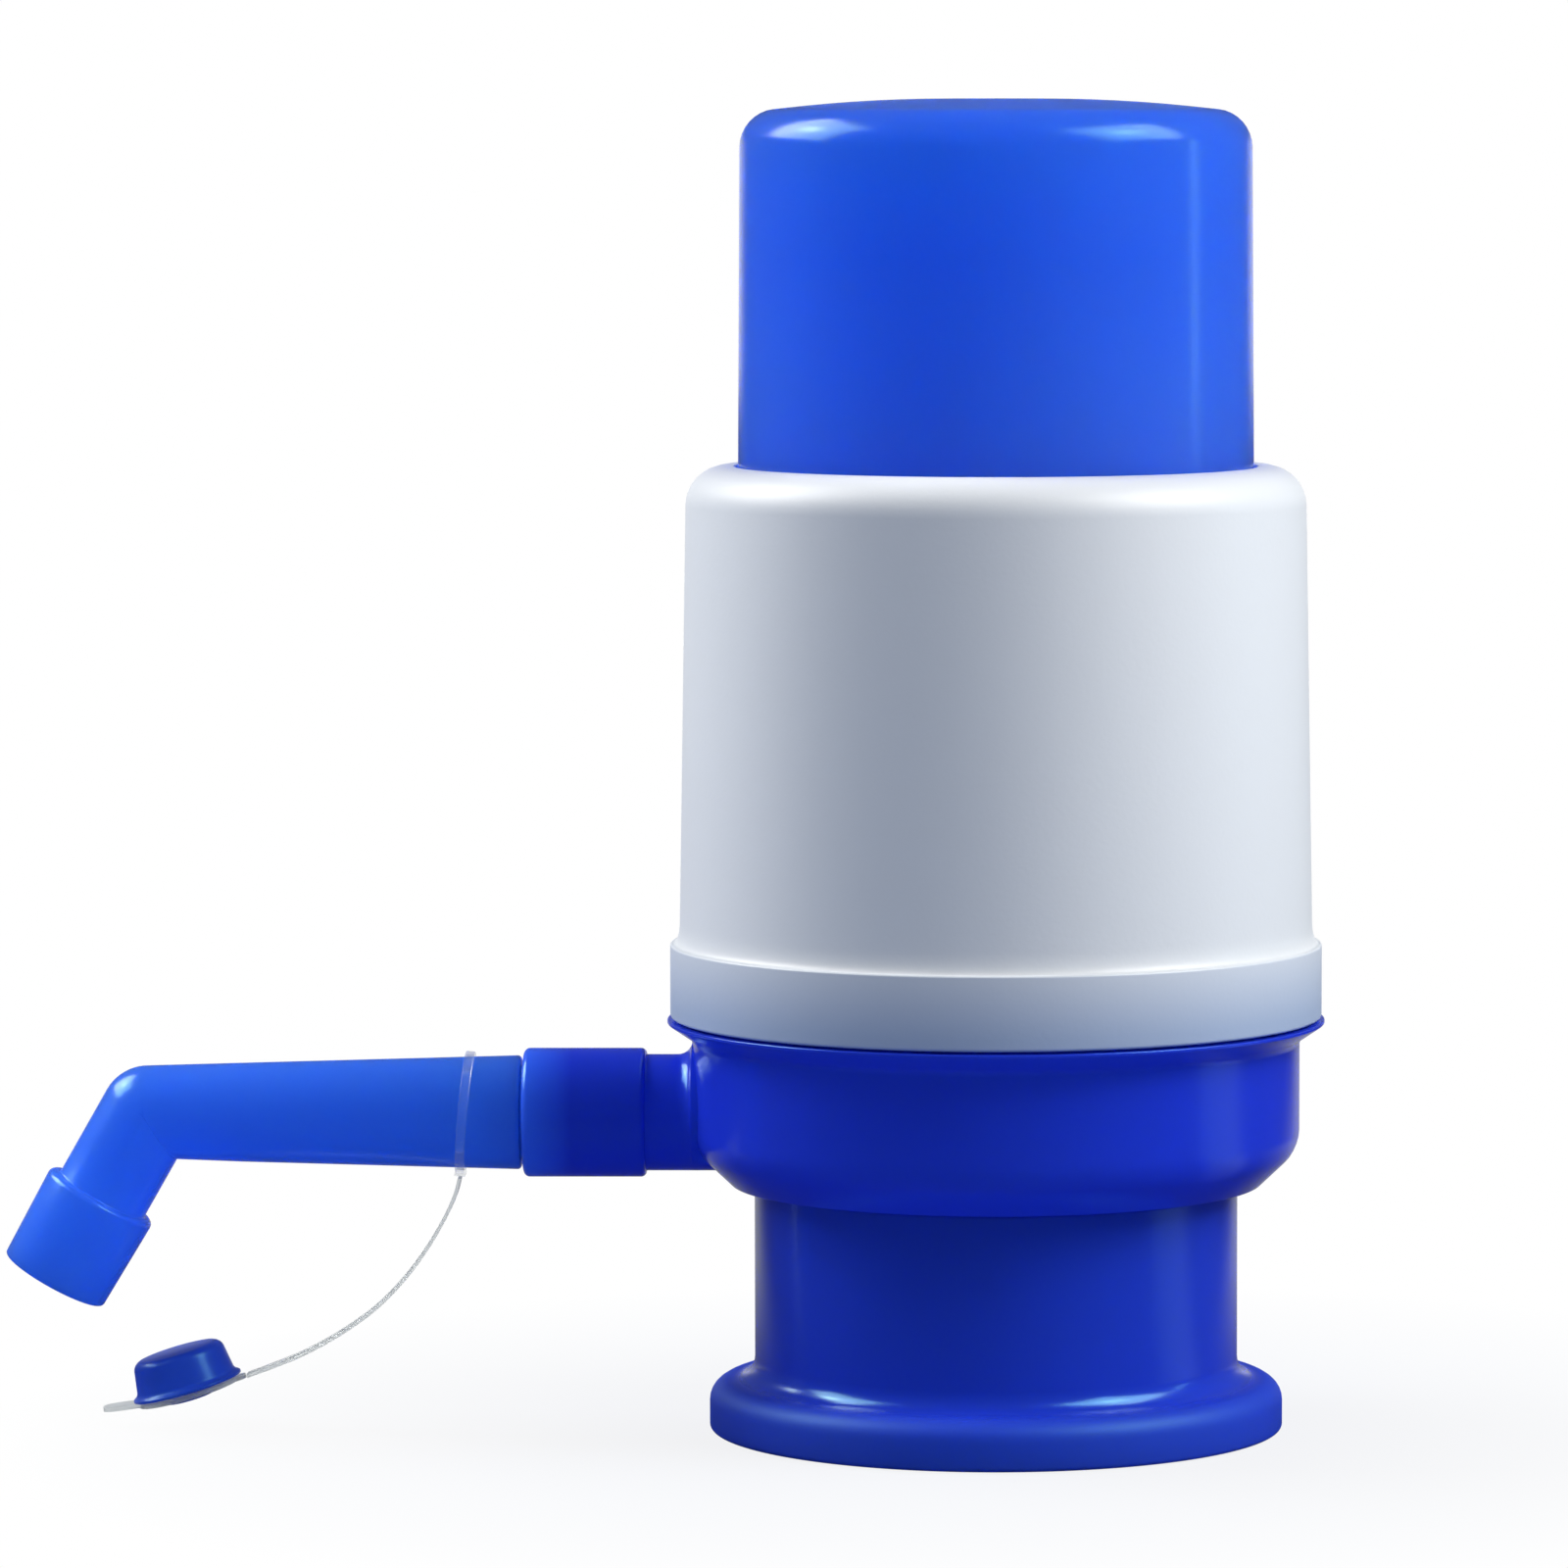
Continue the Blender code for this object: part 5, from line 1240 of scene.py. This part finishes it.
def flat_tongue(length, width, start, turn):
    """A flat tongue with a rounded end, from a point on the end ring's X axis along its own -X."""
    shape = bmesh.new()
    bmesh.ops.create_cube(shape, size=1)
    bmesh.ops.scale(shape, vec=(length * MM, width * MM, TONGUE_THICKNESS * MM), verts=shape.verts)
    bmesh.ops.translate(shape, vec=(-length / 2 * MM, 0, 0), verts=shape.verts)
    far = -length * MM + MERGE
    at_end = [edge for edge in shape.edges if all(vertex.co.x < far for vertex in edge.verts)]
    corners = [edge for edge in at_end if edge.verts[0].co.y == edge.verts[1].co.y]
    round_off(shape, corners, width * TONGUE_ROUND * MM, 6, "EDGES")
    return finish_piece(
        shape, "tool", clear_strap, plug_place @ Matrix.Translation((start * MM, 0, 0)) @ turn
    )


tab_turn = Matrix.Rotation(radians(TAB_LIFT_DEG), 4, "Y")
neck_turn = Matrix.Rotation(pi, 4, "Z")
join_or_cut(end_piece, flat_tongue(TAB_LENGTH, TAB_WIDTH, -TONGUE_START, tab_turn), "UNION")
join_or_cut(end_piece, flat_tongue(NECK_LENGTH, STRAP_WIDTH, TONGUE_START, neck_turn), "UNION")
smooth_but_edges(end_piece.data)
stands_for(end_piece, "tether_end", "tether")

# %% Dust plug
plug_points = [
    (0, 5.55, 0),
    (5.8, 5.55, 1.3),
    (6.45, 1.3, 0.8),
    (7.1, 0.9, 0.12),
    (7.1, 0.55, 0.12),
    (3.0, 0.55, 0),
    (3.0, -0.55, 0),
    (3.7, -0.55, 0.08),
    (3.0, -0.85, 0.1),
    (0, -0.85, 0),
]
plug_piece = finish_piece(spun(plug_points, steps=SMALL_STEPS), "plug_shell", plug_blue, plug_place)
stands_for(plug_piece, "dust_plug", "tether")


# %% [markdown]
# ## Inside the pump: the bellows
# The bellows is the pump itself. Its folds have soft creases, so the zigzag section gets a rounding
# at every corner before it is spun. It has to shorten as the cap is pressed. To fold it for every
# stroke would take a rig. Here it only gets a mesh of its own.

# %% Bellows
BELLOWS_FOLDS = 8
FOLDS_LOW = 56.8
FOLDS_HIGH = 160.7
FOLD_OUTER = 30.0
FOLD_INNER = 25.5
BELLOWS_WALL = 1.0
BELLOWS_STEPS = 96

half_fold = (FOLDS_HIGH - FOLDS_LOW) / (2 * BELLOWS_FOLDS)
outside = [(20.7, 161.7, 0.2), (FOLD_INNER, 161.7, 0.4)]
inside = []
for i in range(1, 2 * BELLOWS_FOLDS + 1):
    radius = FOLD_OUTER if i % 2 else FOLD_INNER
    height = FOLDS_HIGH - half_fold * i
    outside.append((radius, height, 0.9))
    inside.append((radius - BELLOWS_WALL, height, 0.6))
foot = [(FOLD_INNER, 54.8, 0.6), (37.6, 54.8, 0.2), (37.6, 53.8, 0.2), (24.5, 53.8, 0.3)]
bellows_points = outside + foot + inside[::-1] + [(24.5, 160.7, 0.3), (20.7, 160.7, 0.2)]
bellows_piece = finish_piece(spun(bellows_points, True, BELLOWS_STEPS, 3), "bellows_skin", milky)
stands_for(bellows_piece, "bellows", "base")
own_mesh(bellows_piece)

# %% [markdown]
# ## Seen from below: grip ring, gasket and nipple
# The grip ring is split, so that the collar can squeeze it on the neck of the bottle. It is not a
# full turn: its section is filled, turned to one side of the split and spun to the other, and the
# filled sections become its two end faces. The gasket and the nipple are full turns. The nipple has
# three barbs that hold the dip tube.

# %% Grip ring
SPLIT_HALF_WIDTH = 2.0
SPLIT_RADIUS = 28.5

grip_points = [(27.5, 12.5, 0.3), (29.6, 12.5, 0.3), (28.4, 2.5, 0.3), (27.5, 2.5, 0.3)]
grip_shape = half_section(grip_points, True)
bmesh.ops.contextual_create(grip_shape, geom=grip_shape.edges[:])
split_half = asin(SPLIT_HALF_WIDTH / SPLIT_RADIUS)
to_split = Matrix.Rotation(pi / 2 + split_half, 3, "Z")
bmesh.ops.rotate(grip_shape, cent=(0, 0, 0), matrix=to_split, verts=grip_shape.verts)
bmesh.ops.spin(
    grip_shape, geom=grip_shape.verts[:] + grip_shape.edges[:] + grip_shape.faces[:], cent=(0, 0, 0),
    axis=(0, 0, 1), dvec=(0, 0, 0), angle=2 * pi - 2 * split_half, steps=FINE_STEPS, use_merge=False,
)
close_up(grip_shape)
grip_piece = finish_piece(grip_shape, "grip_band", inner_white)
print("open edges of the grip ring:", open_edges(grip_piece))
stands_for(grip_piece, "grip_ring", "grip")

# %% Gasket and tube nipple
BARBS = 3
BARB_STEP = 3.6

gasket_points = [(21.4, 31.3, 0.4), (27.5, 31.3, 0.4), (27.5, 29.3, 0.4), (21.4, 29.3, 0.4)]
gasket_piece = finish_piece(spun(gasket_points, True, FINE_STEPS, 3), "gasket_ring", rubber)
stands_for(gasket_piece, "neck_gasket", "base")

nipple_points = [
    (3.7, 29.1, 0.2),
    (5.0, 29.1, 0.4),
    (5.0, 21.7, 0),
    (7.2, 21.7, 0.2),
    (7.2, 20.2, 0.2),
    (5.0, 20.2, 0.3),
]
for i in range(BARBS, 0, -1):
    nipple_points += [(5.0, 4.2 + BARB_STEP * i, 0.1), (5.5, 3.7 + BARB_STEP * i, 0.1)]
nipple_points += [(4.5, 4.2, 0.1), (3.7, 4.2, 0.2)]
nipple_piece = finish_piece(spun(nipple_points, True, SMALL_STEPS, 3), "tube_nipple", inner_white)
stands_for(nipple_piece, "tube_connector", "base")

# %% [markdown]
# ## The pieces that keep their CAD shape
# Seven pieces sit deep inside, and their solids already have the right shape. They only need a
# finish: plain white plastic for the plates and rings, grey rubber for the valves and seals.

# %% Finishes on the CAD pieces that stay
KEPT = {
    "bellows_head": inner_white,
    "bellows_clamp_ring": inner_white,
    "valve_plate": inner_white,
    "inlet_valve": rubber,
    "delivery_valve": rubber,
    "deck_seal": rubber,
    "spout_o_ring": rubber,
}
for name, material in KEPT.items():
    slots = nodes[name].material_slots
    for slot in slots:
        slot.material = material
    if not slots:
        nodes[name].data.materials.append(material)
print("kept from the CAD model:", ", ".join(KEPT))
